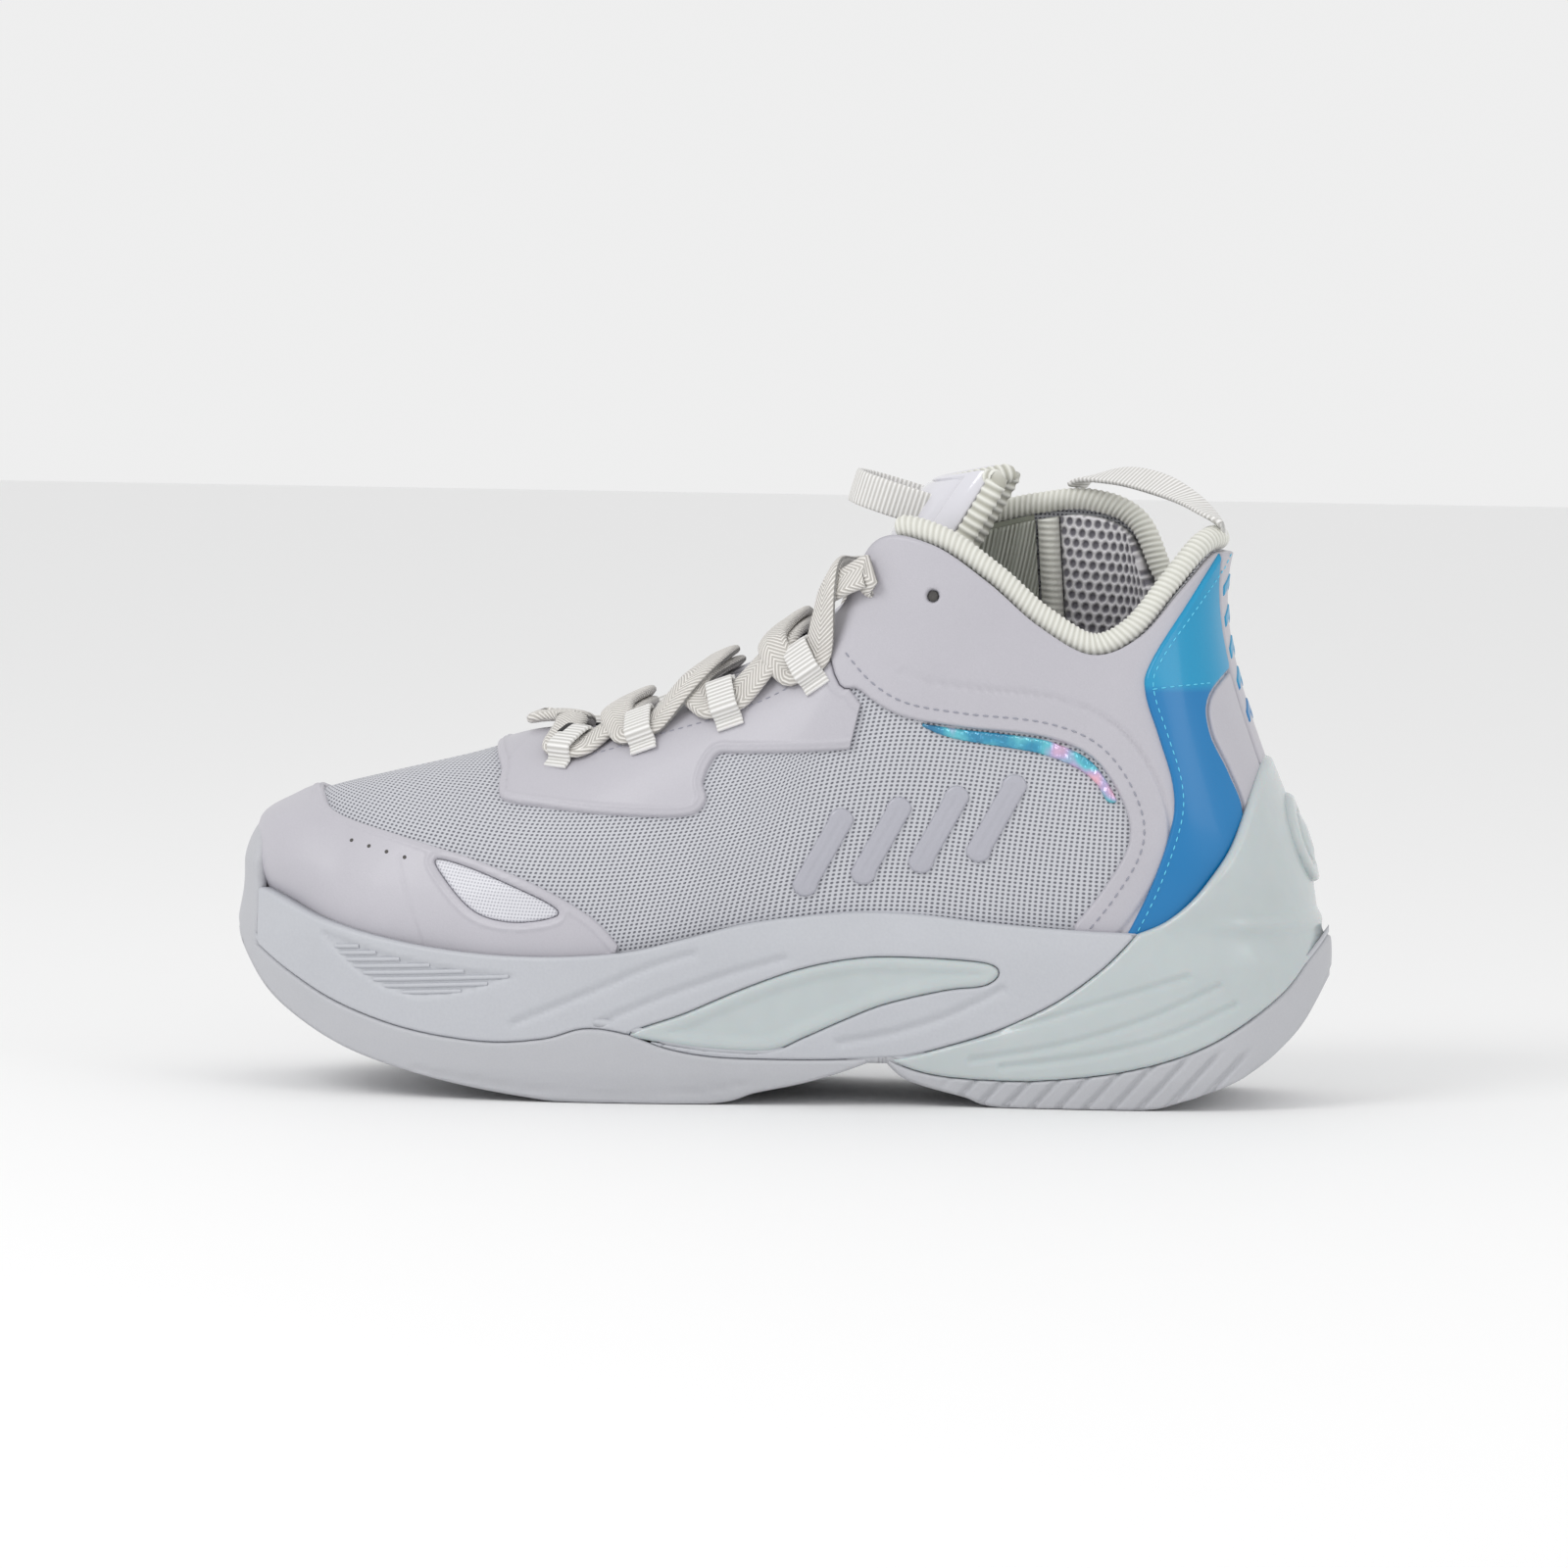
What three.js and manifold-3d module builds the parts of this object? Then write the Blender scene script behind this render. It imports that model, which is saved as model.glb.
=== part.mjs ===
// Basketball high top, left shoe. Millimetres, +Z up, toe towards -X, lateral side towards -Y.
// The origin is the middle of the footprint, on the ground.
import * as THREE from "three";
import { mergeVertices } from "three/addons/utils/BufferGeometryUtils.js";
import Module from "manifold-3d";

const wasm = await Module();
wasm.setup();

// ---- Driving sizes -------------------------------------------------------------------
const LENGTH = 292; // heel to toe over the rubber
const WIDTH = 106; // over the widest part of the sole
const HEIGHT = 166; // ground to the top of the tongue
const GAP = 0.3; // clearance between two pieces that touch
const MESH = 1.4; // knitted mesh of the upper
const FILM = 1.3; // synthetic leather overlays
const BAND = 1.2; // heel band, piping and badge, laid over the overlays
const COUNTER = 1.5; // moulded heel counter and toe puff
const LINING = 1.0; // lining cloth
const PAD = 5.2; // collar foam with its cover
const BOARD = 1.5; // strobel board
const SOCK = 4; // sockliner
const FOOT_RUBBER = 4.2; // wall of the heel cup and toe wrap
const INSET = 2.2; // depth of the arch inserts in the sidewall
const CUP = 6; // how far the heel cup stands off the mesh
const ROLL = 6; // collar binding roll, across
const ROLL_LIFT = 0.4; // its seam allowance above the collar edge
const ROLL_MIDDLE = -2; // its middle, inside the upper's outer face
const LACE_WIDTH = 6;
const LACE_THICK = 1.4;
const LACE_ROOM = 0.7; // between the lace and its loops
const TAB_WALL = 1.1; // webbing of the lace loops
const TAB_LENGTH = 5;
const LOOP_WIDTH = 9; // tongue pull loop
const STRAP_WIDTH = 8; // heel strap
const WEBBING = 1.5;
const TREAD_DEPTH = 1.6;
const TREAD_WIDTH = 2;
const TREAD_PITCH = 9;
const MEDALLION = 13; // radius
const MEDALLION_THICK = 1.6;
const PERFORATION = 1.3;

// The tables below are drawn for a shoe of these sizes, and stretch with the driving sizes.
const DRAWN = { length: 292, width: 106, height: 166 };
const KX = LENGTH / DRAWN.length;
const KY = WIDTH / DRAWN.width;
const KZ = HEIGHT / DRAWN.height;

// ---- The last: stations from the heel round to the toe --------------------------------
// foot: where the mesh meets the board. top: ridge, throat or collar edge.
// swell and crown: how the wall leaves the foot and reaches the top.
const LATERAL = [
  { foot: [132, 0, 38], top: [115, 0, 145], swell: [13, 0, 28], crown: [-9, 0, -36] },
  { foot: [127, -19, 38], top: [112, -11, 144], swell: [9, -6, 28], crown: [-7, -7, -36] },
  { foot: [113, -31, 38], top: [105, -21, 135], swell: [4, -7, 28], crown: [-3, -8, -32] },
  { foot: [94, -35.5, 38.5], top: [95, -29, 123], swell: [0, -6, 28], crown: [-1, -5, -28] },
  { foot: [76, -37, 39.5], top: [83, -32.5, 118.5], swell: [0, -5, 28], crown: [0, -3, -26] },
  { foot: [58, -38, 41], top: [69, -34, 126], swell: [0, -4, 28], crown: [-2, -3, -28] },
  { foot: [40, -39, 42.5], top: [56, -34, 137], swell: [1, -3, 28], crown: [-4, -3, -32] },
  { foot: [22, -41, 42.5], top: [41, -32, 146.5], swell: [2, -2, 28], crown: [-5, -5, -34] },
  { foot: [4, -43.5, 40.5], top: [27, -28, 147], swell: [3, -2, 27], crown: [-6, -8, -34] },
  { foot: [-14, -46, 37], top: [18, -26, 129], swell: [3, -2, 26], crown: [-8, -11, -24] },
  { foot: [-32, -48, 33.5], top: [0, -23.5, 114], swell: [3, -2, 25], crown: [-9, -13, -15] },
  { foot: [-52, -48.5, 31], top: [-23, -21, 103], swell: [2, -3, 25], crown: [-10, -15, -9] },
  { foot: [-72, -47, 31], top: [-45, -15, 93.5], swell: [1, -4, 25], crown: [-9, -17, -4] },
  { foot: [-90, -43, 33], top: [-64, 0, 93], swell: [0, -5, 24], crown: [-5, -24, 1] },
  { foot: [-107, -38, 36.5], top: [-83, 0, 87.6], swell: [-1, -6, 22], crown: [-5, -23, 1] },
  { foot: [-121, -29, 40.5], top: [-103, 0, 82.6], swell: [-3, -5, 19], crown: [-6, -19, 1] },
  { foot: [-131, -16, 44], top: [-117, 0, 79], swell: [-4, -3, 16], crown: [-9, -11, 0.5] },
  { foot: [-134.5, 0, 46], top: [-125, 0, 76.6], swell: [-4, 0, 13], crown: [-9, 0, -0.5] },
];
// The medial wall, heel to toe, between the same two middle stations.
const MEDIAL_FOOT = [19, 30, 33, 32.5, 32, 32.5, 34.5, 38, 42, 45.5, 48, 48, 44.5, 39, 29.5, 16];
const MEDIAL_TOP = [
  [112, 11, 144],
  [107, 20, 135],
  [99, 26, 134],
  [90, 29, 149],
  [78, 29.5, 154],
  [65, 30, 153],
  [50, 30, 150],
  [30, 28, 147],
];

function medialRow(lateral, index) {
  const flip = (v) => [v[0], -v[1], v[2]];
  const foot = [lateral.foot[0], MEDIAL_FOOT[index], lateral.foot[2]];
  const top = MEDIAL_TOP[index] ?? flip(lateral.top);
  return { foot, top, swell: flip(lateral.swell), crown: flip(lateral.crown) };
}

const SIDE = LATERAL.length - 1;
const ROWS = [
  ...LATERAL,
  ...LATERAL.slice(1, SIDE).map(medialRow).reverse(),
].map((row) => [row.foot, row.top, row.swell, row.crown].flatMap((v) => [v[0] * KX, v[1] * KY, v[2] * KZ]));

// Uniform Catmull-Rom through rows of numbers, round a closed loop or along an open list.
function spline(rows, t, closed) {
  const count = rows.length;
  const start = closed ? Math.floor(t) : Math.min(Math.floor(t), count - 2);
  const f = t - start;
  const row = (i) => (closed ? rows[(i + 2 * count) % count] : rows[Math.max(0, Math.min(count - 1, i))]);
  const [a, b, c, d] = [row(start - 1), row(start), row(start + 1), row(start + 2)];
  return b.map((_, k) => {
    const slope = (c[k] - a[k]) / 2;
    const next = (d[k] - b[k]) / 2;
    const g = 1 - f;
    return b[k] * (1 + 2 * f) * g * g + slope * f * g * g + c[k] * f * f * (3 - 2 * f) - next * f * f * g;
  });
}

// A point of the upper's outer face: s runs round the stations, h from the foot to the top.
function wall(s, h) {
  const row = spline(ROWS, s, true);
  const lateral = s <= SIDE;
  const topY = lateral ? Math.min(0, row[4]) : Math.max(0, row[4]);
  const top = [row[3], topY, row[5]];
  const g = 1 - h;
  return new THREE.Vector3(
    ...[0, 1, 2].map(
      (k) =>
        row[k] * g * g * g +
        3 * (row[k] + row[6 + k]) * h * g * g +
        3 * (top[k] + row[9 + k]) * h * h * g +
        top[k] * h * h * h,
    ),
  );
}

function isClosedOver(s) {
  return Math.abs(wall(s, 1).y) < 1e-6;
}

const LOOP = 2 * SIDE;
const wrap = (s) => ((s % LOOP) + LOOP) % LOOP;

function outward(s, h) {
  const ds = 0.05;
  const dh = 0.01;
  const alongS = wall(wrap(s + ds), h).sub(wall(wrap(s - ds), h));
  const alongH = wall(s, Math.min(1, h + dh)).sub(wall(s, Math.max(0, h - dh)));
  const normal = alongH.cross(alongS).normalize();
  if (h === 1 && isClosedOver(s)) normal.y = 0;
  return normal.normalize();
}

// A point of the upper at a distance outside its outer face.
function skin(s, h, off) {
  return wall(s, h).addScaledVector(outward(s, h), off);
}

// ---- Solids ---------------------------------------------------------------------------
const AROUND = 22; // samples from the heel to the toe on each side
const COLLAR_STEPS = 10; // samples from the heel to each front wing
const LEVELS = [0, 0.06, 0.2, 0.36, 0.54, 0.72, 0.87, 1];
const STEPS = Array.from({ length: 2 * AROUND }, (_, i) => (i * SIDE) / AROUND);

// Collects triangles and joins the vertices that fall on one another.
class Facets {
  constructor() {
    this.points = [];
    this.triangles = [];
    this.seen = new Map();
  }
  vertex(p) {
    const key = [p.x, p.y, p.z].map((v) => Math.round(v * 1e4)).join();
    if (!this.seen.has(key)) {
      this.seen.set(key, this.points.length / 3);
      this.points.push(p.x, p.y, p.z);
    }
    return this.seen.get(key);
  }
  triangle(a, b, c) {
    const [i, j, k] = [a, b, c].map((p) => this.vertex(p));
    if (i !== j && j !== k && k !== i) this.triangles.push(i, j, k);
  }
  quad(a, b, c, d) {
    this.triangle(a, b, c);
    this.triangle(a, c, d);
  }
  solid() {
    return new wasm.Manifold(
      new wasm.Mesh({
        numProp: 3,
        vertProperties: new Float32Array(this.points),
        triVerts: new Uint32Array(this.triangles),
      }),
    );
  }
}

const ring = (pointAt) => STEPS.map(pointAt);

// A solid through rings from the lowest to the highest, each cap a ladder across the width.
function stack(rings) {
  const facets = new Facets();
  const n = rings[0].length;
  for (let j = 0; j < rings.length - 1; j += 1) {
    for (let i = 0; i < n; i += 1) {
      const k = (i + 1) % n;
      facets.quad(rings[j][i], rings[j + 1][i], rings[j + 1][k], rings[j][k]);
    }
  }
  const low = rings[0];
  const high = rings[rings.length - 1];
  for (let i = 0; i < n / 2; i += 1) {
    const [p, q] = [(n - i) % n, (n - i - 1) % n];
    facets.quad(low[i], low[i + 1], low[q], low[p]);
    facets.quad(high[i], high[p], high[q], high[i + 1]);
  }
  return facets.solid();
}

// Everything inside the upper's outer face moved out by off.
function lastVolume(off) {
  return stack(LEVELS.map((h) => ring((s) => skin(s, h, off))));
}

// A layer of the upper between two distances from its outer face, open below and at the throat.
function layer(inner, outer, levels = LEVELS) {
  const facets = new Facets();
  const n = STEPS.length;
  const last = levels.length - 1;
  const out = levels.map((h) => ring((s) => skin(s, h, outer)));
  const into = levels.map((h) => ring((s) => skin(s, h, inner)));
  for (let i = 0; i < n; i += 1) {
    const k = (i + 1) % n;
    for (let j = 0; j < last; j += 1) {
      facets.quad(out[j][i], out[j + 1][i], out[j + 1][k], out[j][k]);
      facets.quad(into[j][i], into[j][k], into[j + 1][k], into[j + 1][i]);
    }
    facets.quad(out[0][i], out[0][k], into[0][k], into[0][i]);
    if (isClosedOver(STEPS[i]) && isClosedOver(STEPS[k])) continue;
    facets.quad(out[last][i], into[last][i], into[last][k], out[last][k]);
  }
  return facets.solid();
}

function solidOf(geometry) {
  const bare = geometry.index ? geometry.toNonIndexed() : geometry.clone();
  bare.deleteAttribute("normal");
  bare.deleteAttribute("uv");
  const merged = mergeVertices(bare, 1e-4);
  return new wasm.Manifold(
    new wasm.Mesh({
      numProp: 3,
      vertProperties: new Float32Array(merged.attributes.position.array),
      triVerts: new Uint32Array(merged.index.array),
    }),
  );
}

function geometryOf(solid) {
  const mesh = solid.getMesh();
  const positions = new Float32Array((mesh.vertProperties.length / mesh.numProp) * 3);
  for (let i = 0; i < positions.length / 3; i += 1) {
    for (let k = 0; k < 3; k += 1) positions[3 * i + k] = mesh.vertProperties[mesh.numProp * i + k];
  }
  const geometry = new THREE.BufferGeometry();
  geometry.setAttribute("position", new THREE.BufferAttribute(positions, 3));
  geometry.setIndex(Array.from(mesh.triVerts));
  return geometry;
}

// ---- Outlines in the side view, as [x, z] points --------------------------------------
const at = (points) => points.map(([x, z]) => [x * KX, z * KZ]);

// A smooth closed outline: a point given twice is a corner.
function smooth(points, perSpan = 2) {
  const out = [];
  for (let i = 0; i < points.length; i += 1) {
    const next = points[(i + 1) % points.length];
    if (points[i][0] === next[0] && points[i][1] === next[1]) continue;
    for (let k = 0; k < perSpan; k += 1) out.push(spline(points, i + k / perSpan, true));
  }
  return out;
}

// Moves an outline outwards by a distance, or inwards when it is negative.
function grow(points, by) {
  const n = points.length;
  const area = points.reduce((sum, p, i) => {
    const q = points[(i + 1) % n];
    return sum + p[0] * q[1] - q[0] * p[1];
  }, 0);
  const turn = Math.sign(area) * by;
  return points.map((p, i) => {
    const [a, b] = [points[(i + n - 1) % n], points[(i + 1) % n]];
    const [dx, dz] = [b[0] - a[0], b[1] - a[1]];
    const size = Math.hypot(dx, dz);
    return [p[0] + (dz / size) * turn, p[1] - (dx / size) * turn];
  });
}

const HALF = 90; // beyond either side of the shoe

// A prism of a side-view outline between two distances across the shoe.
function prism(points, fromY = -HALF, toY = HALF) {
  const shape = new THREE.Shape(points.map(([x, z]) => new THREE.Vector2(x, z)));
  const geometry = new THREE.ExtrudeGeometry(shape, { depth: toY - fromY, bevelEnabled: false });
  geometry.rotateX(Math.PI / 2);
  geometry.translate(0, toY, 0);
  return solidOf(geometry);
}

const side = (points, lateral) => (lateral ? prism(points, -HALF, 0) : prism(points, 0, HALF));
const block = (x0, x1, z0, z1) => [[x0, z0], [x1, z0], [x1, z1], [x0, z1]];

// ---- Side-view lines of the sole ---------------------------------------------------------
const GROUND_FRONT = at([[-147, 44], [-142, 36.5], [-135, 27], [-126, 20], [-112, 12.5], [-96, 7.4],
  [-79, 3.6], [-62, 1], [-50, 0], [-14, 0], [-2, 3], [10, 5.6], [20, 8.6], [27, 11.3]]);
const GROUND_BACK = at([[32, 11.3], [36, 7.6], [42, 5.2], [52, 2.6], [62, 0], [98, 0], [109, 2.2],
  [121, 6.5], [130, 12], [138.5, 21], [143.5, 31], [148, 42]]);
const RUBBER_TOP = at([[-138, 37.4], [-127, 30.8], [-113, 23.8], [-94, 18.1], [-73, 15.5], [-57, 16.7],
  [-46.5, 19.6], [-36, 18.5], [-25, 14.7], [-13, 12.6], [3, 12], [15, 12], [27, 12.4]]);
const HEEL_RUBBER_TOP = at([[32, 12.4], [38, 9.8], [46, 8], [58, 7.2], [73, 7.4], [96, 10.6],
  [116, 17.3], [133, 29], [141, 39], [147, 47]]);
const CUP_FRONT = at([[36, 13], [44, 15], [60, 20.3], [75.5, 27.9], [88, 37.2], [97, 46.5]]);
const LIP = at([[-147, 52], [-141, 52], [-135, 51.6], [-119, 45.7], [-100, 41.4], [-78.5, 38.7],
  [-57.5, 38.1], [-36.6, 39.6], [-21, 43.2], [-5.6, 47.3], [9.8, 49.6], [25.3, 50.8], [41, 50.3],
  [56.5, 48.7], [77.3, 47.2], [97, 46.5], [120, 47.5], [147, 49]]);
const CUP_TOP = at([[97, 46.5], [104, 49.5], [111, 55], [117, 62], [121.5, 69], [124.5, 77],
  [127, 85.5], [128.5, 92.5], [150, 93]]);
const HEEL_SLOPE = at([[0, -5], [200, -5], [200, 36], [146.5, 41], [142, 47], [140.5, 52], [139.5, 57],
  [0, 57]]);
const LEAF = at([[-34.6, 18.5], [-20.3, 24], [-4.8, 30.8], [10.7, 36.3], [26.2, 39.1], [41.6, 39.2],
  [57.2, 38.2], [61, 35.6], [57.3, 32.2], [46.9, 30.7], [31.3, 26.8], [21, 22.6], [10.7, 17.9],
  [1.7, 14.2], [-12, 14.4], [-25, 16]]);
const TOE_WRAP = at([[-150, 34], [-139.5, 37], [-138, 46], [-139.5, 60], [-142.5, 71.5], [-150, 72.5]]);

// Plan outline of the sole, heel to toe: x and half width on the lateral and medial sides.
const PLAN = [[144.5, 0, 0], [140.5, 16, 16], [129, 31, 30], [112, 38.5, 36.5], [92, 41.5, 37.5],
  [72, 42, 36], [52, 42, 34.5], [32, 43, 35], [12, 46, 38.5], [-8, 49.5, 43], [-28, 52.5, 47.5],
  [-50, 54, 51], [-72, 53, 51.5], [-94, 49, 48], [-113, 42, 41], [-129, 32, 31], [-141, 17, 17],
  [-145, 0, 0]];
const FLARE = [[-2, -4.6], [3, -3.2], [8, -1.6], [16, -0.3], [27, 0.4], [41, 0.8], [52, -0.8],
  [62, -0.6], [73, -4.5]];

const PLAN_LOOP = [
  ...PLAN.map(([x, lateral]) => [x * KX, -lateral * KY]),
  ...PLAN.slice(1, PLAN.length - 1).map(([x, , medial]) => [x * KX, medial * KY]).reverse(),
];

// A point of the sole's side wall: off moves it outwards.
function plan(s, off) {
  const here = spline(PLAN_LOOP, s, true);
  const [a, b] = [spline(PLAN_LOOP, wrap(s + 0.05), true), spline(PLAN_LOOP, wrap(s - 0.05), true)];
  const [dx, dy] = [a[0] - b[0], a[1] - b[1]];
  const size = Math.hypot(dx, dy);
  return [here[0] - (dy / size) * off, here[1] + (dx / size) * off];
}

function soleVolume(off) {
  const rings = FLARE.map(([z, flare]) =>
    ring((s) => {
      const [x, y] = plan(s, flare + off);
      return new THREE.Vector3(x, y, z * KZ);
    }),
  );
  return stack(rings);
}

// ---- Sole unit -------------------------------------------------------------------------
const SOLE = soleVolume(0);
const CORE = soleVolume(-FOOT_RUBBER);
const CORE_CLEAR = soleVolume(-FOOT_RUBBER - GAP);
const LINED_TOE = GAP + FILM + GAP; // outside the overlays
const OVER_BANDS = GAP + FILM + GAP + BAND + GAP; // outside the heel band

const raised = (points, by) => points.map(([x, z]) => [x, z + by]);
const cupOutline = [...CUP_FRONT, ...CUP_TOP.slice(1), ...raised(HEEL_RUBBER_TOP, GAP).slice(1).reverse()];

function makeHeelCup() {
  const bulk = SOLE.intersect(prism(HEEL_SLOPE)).add(lastVolume(CUP));
  const shell = bulk.intersect(prism(cupOutline));
  const below = CORE.intersect(prism(block(-200, 200, -5, LIP[LIP.length - 1][1] + GAP)));
  return shell.subtract(below).subtract(lastVolume(OVER_BANDS));
}

function makeMidsole() {
  const underside = [...raised(RUBBER_TOP, GAP), ...raised(HEEL_RUBBER_TOP, GAP)];
  const body = SOLE.intersect(prism([...underside, ...[...LIP].reverse()]));
  const cupCut = prism(grow(cupOutline, 2 * GAP)).subtract(CORE_CLEAR);
  const toeCut = prism(grow(TOE_WRAP, GAP)).subtract(CORE_CLEAR);
  const leafCut = prism(grow(smooth(LEAF, 2), GAP)).subtract(soleVolume(-INSET - GAP));
  return body.subtract(cupCut).subtract(toeCut).subtract(leafCut).subtract(lastVolume(GAP));
}

function makeArchInsert(lateral) {
  return SOLE.intersect(side(smooth(LEAF, 2), lateral)).subtract(soleVolume(-INSET));
}

function treadCuts(fromX, toX) {
  const cuts = [];
  for (let x = fromX; x < toX; x += TREAD_PITCH) {
    const lean = TREAD_DEPTH / 2;
    const foot = [[x, -1], [x + TREAD_WIDTH, -1]];
    cuts.push(prism([...foot, [x + TREAD_WIDTH + lean, TREAD_DEPTH], [x + lean, TREAD_DEPTH]]));
  }
  return cuts;
}

function makeOutsoleForefoot() {
  const tread = SOLE.intersect(prism([...GROUND_FRONT, ...[...RUBBER_TOP].reverse()]));
  const inside = CORE.intersect(prism(block(-200, 0, RUBBER_TOP[0][1], LIP[0][1] + GAP)));
  const toe = SOLE.intersect(prism(TOE_WRAP)).subtract(inside).subtract(lastVolume(LINED_TOE));
  return treadCuts(-46 * KX, -18 * KX).reduce((body, cut) => body.subtract(cut), tread.add(toe));
}

function makeOutsoleHeel() {
  const body = SOLE.intersect(prism([...GROUND_BACK, ...[...HEEL_RUBBER_TOP].reverse()]));
  return treadCuts(66 * KX, 96 * KX).reduce((rubber, cut) => rubber.subtract(cut), body);
}

function makeMedallion() {
  const disc = new THREE.CylinderGeometry(MEDALLION, MEDALLION, 60, 24);
  disc.rotateZ(Math.PI / 2);
  disc.translate(140 * KX, 0, 71 * KZ);
  return layer(CUP + GAP, CUP + GAP + MEDALLION_THICK).intersect(solidOf(disc));
}

// ---- Boards and insole --------------------------------------------------------------------
function sheetInside(off, low, high) {
  const lift = (z) => ring((s) => skin(s, 0, off).add(new THREE.Vector3(0, 0, z)));
  return stack([lift(low), lift(high)]);
}

const INSIDE = -MESH - GAP; // inner face of the mesh, with clearance
const COUNTER_FACE = INSIDE - COUNTER - GAP; // inner face of the heel counter, with clearance
const LINED_FACE = COUNTER_FACE - LINING - GAP;

// ---- Upper -------------------------------------------------------------------------------
const OVERLAY = [GAP, GAP + FILM];
const SECOND = [GAP + FILM + GAP, GAP + FILM + GAP + BAND];
const RAISED = LEVELS.slice(1); // starts above the board

const TOE_CAP = at([[-152, 84], [-125.6, 78.5], [-117, 72], [-96, 66.8], [-74.4, 61.2], [-58.2, 55.3],
  [-44.8, 47.9], [-36.7, 39.5], [-36.7, 39.5], [-60, 30], [-60, 30], [-152, 30], [-152, 30]]);
const WINDOW = at([[-88, 61.5], [-80, 60.3], [-68.5, 56.4], [-56.5, 51.4], [-54.5, 48.5], [-63, 46.6],
  [-71, 47], [-77.5, 49.5], [-84, 55.5]]);
const EYESTAY = at([[-73, 84], [-73, 80.6], [-71, 77], [-60, 75.8], [-44, 74.7], [-22, 74.8],
  [-16.5, 78.9], [-17.4, 84], [-14.2, 90.5], [-7.7, 91.2], [8, 92], [23.9, 93.5], [29, 96.7],
  [24.9, 103], [15, 117.4], [10, 140], [10, 140], [-40, 130], [-75, 100]]);
const QUARTER = at([[15, 117.4], [23.3, 108.2], [34, 102], [50, 99.3], [71, 97.2], [84.3, 91.6],
  [92.4, 80], [93.9, 69.7], [87.6, 57.9], [80, 48.1], [80, 48.1], [82, 40], [82, 40], [160, 40],
  [160, 40], [160, 170], [160, 170], [5, 170], [5, 170]]);
const BAND_SHAPE = at([[114.5, 152], [105, 132], [97.7, 120], [96.7, 111], [101, 101], [106.5, 85.4],
  [105.5, 72.4], [100.5, 59.3], [94.2, 48.5], [94.2, 48.5], [96, 40], [96, 40], [150, 40], [150, 40],
  [150, 152], [150, 152]]);
const PIPING = at([[30, 100], [42, 95.5], [55, 92.6], [70, 89.6], [83, 85], [89.5, 78.5], [89.5, 78.5],
  [86, 78], [80, 81.5], [68, 85.6], [54, 88.4], [40, 91.4], [30, 100], [30, 100]]);

const aboveLip = (by) => {
  const rim = LIP.map(([x, z]) => [x, z + by]);
  return prism([[-200, rim[0][1]], ...rim, [200, rim[rim.length - 1][1]], [200, 250], [-200, 250]]);
};
const ABOVE_LIP = aboveLip(GAP);

// The slot in each wing that takes the end of the lace.
const EYELET = { s: 8.15, h: 0.9 };
function laceHole(lateral) {
  const eye = wallFrame(lateral ? EYELET.s : LOOP - EYELET.s, EYELET.h);
  const slot = new THREE.BoxGeometry(LACE_THICK + 2.6, 24, LACE_WIDTH + 2);
  const across = new THREE.Vector3().crossVectors(eye.along, eye.up);
  slot.applyMatrix4(new THREE.Matrix4().makeBasis(eye.along, eye.up, across).setPosition(eye.at));
  return solidOf(slot);
}
const HOLES = [laceHole(true), laceHole(false)];
const pierce = (solid) => HOLES.reduce((body, hole) => body.subtract(hole), solid);

const OVERLAY_LAYER = layer(...OVERLAY);
const SECOND_LAYER = layer(...SECOND);
const capOutline = smooth(TOE_CAP);
const windowOutline = smooth(WINDOW, 2);
const eyestayOutline = smooth(EYESTAY);
const quarterOutline = smooth(QUARTER);
const bandOutline = smooth(BAND_SHAPE);

function makeUpperMesh() {
  return pierce(layer(-MESH, 0));
}

function makeToeCap() {
  const cap = OVERLAY_LAYER.intersect(prism(capOutline)).intersect(ABOVE_LIP);
  const openings = [grow(windowOutline, GAP)];
  for (let i = 0; i < 4; i += 1) {
    const [x, z] = at([[-111 + 5 * i, 65 - 1.15 * i]])[0];
    openings.push([0, 1, 2, 3, 4, 5].map((k) => {
      const turn = (k * Math.PI) / 3;
      return [x + (PERFORATION / 2) * Math.cos(turn), z + (PERFORATION / 2) * Math.sin(turn)];
    }));
  }
  return openings.reduce((body, hole) => body.subtract(prism(hole)), cap);
}

function makeToeWindow(lateral) {
  return layer(GAP, GAP + 0.8).intersect(side(windowOutline, lateral));
}

function makeEyestay(lateral) {
  const other = prism(grow(quarterOutline, GAP));
  return OVERLAY_LAYER.intersect(side(eyestayOutline, lateral)).subtract(other);
}

function makeQuarter(lateral) {
  const half = OVERLAY_LAYER.intersect(side(quarterOutline, lateral)).intersect(ABOVE_LIP);
  return pierce(half.subtract(solidOf(new THREE.BoxGeometry(400, GAP, 400))));
}

const STAY_HALF = 8.5 * KY; // half width of the back stay

function acrossHeel(halfWidth) {
  const slab = new THREE.BoxGeometry(80, 2 * halfWidth, 240);
  slab.translate(140 * KX, 0, 100);
  return solidOf(slab);
}

function makeHeelBand(lateral) {
  const band = SECOND_LAYER.intersect(side(bandOutline, lateral)).intersect(ABOVE_LIP);
  return band.subtract(acrossHeel(STAY_HALF + GAP));
}

function makeBackStay() {
  return SECOND_LAYER.intersect(acrossHeel(STAY_HALF)).intersect(ABOVE_LIP);
}

function makePiping(lateral) {
  return SECOND_LAYER.intersect(side(smooth(PIPING, 2), lateral));
}

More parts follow.
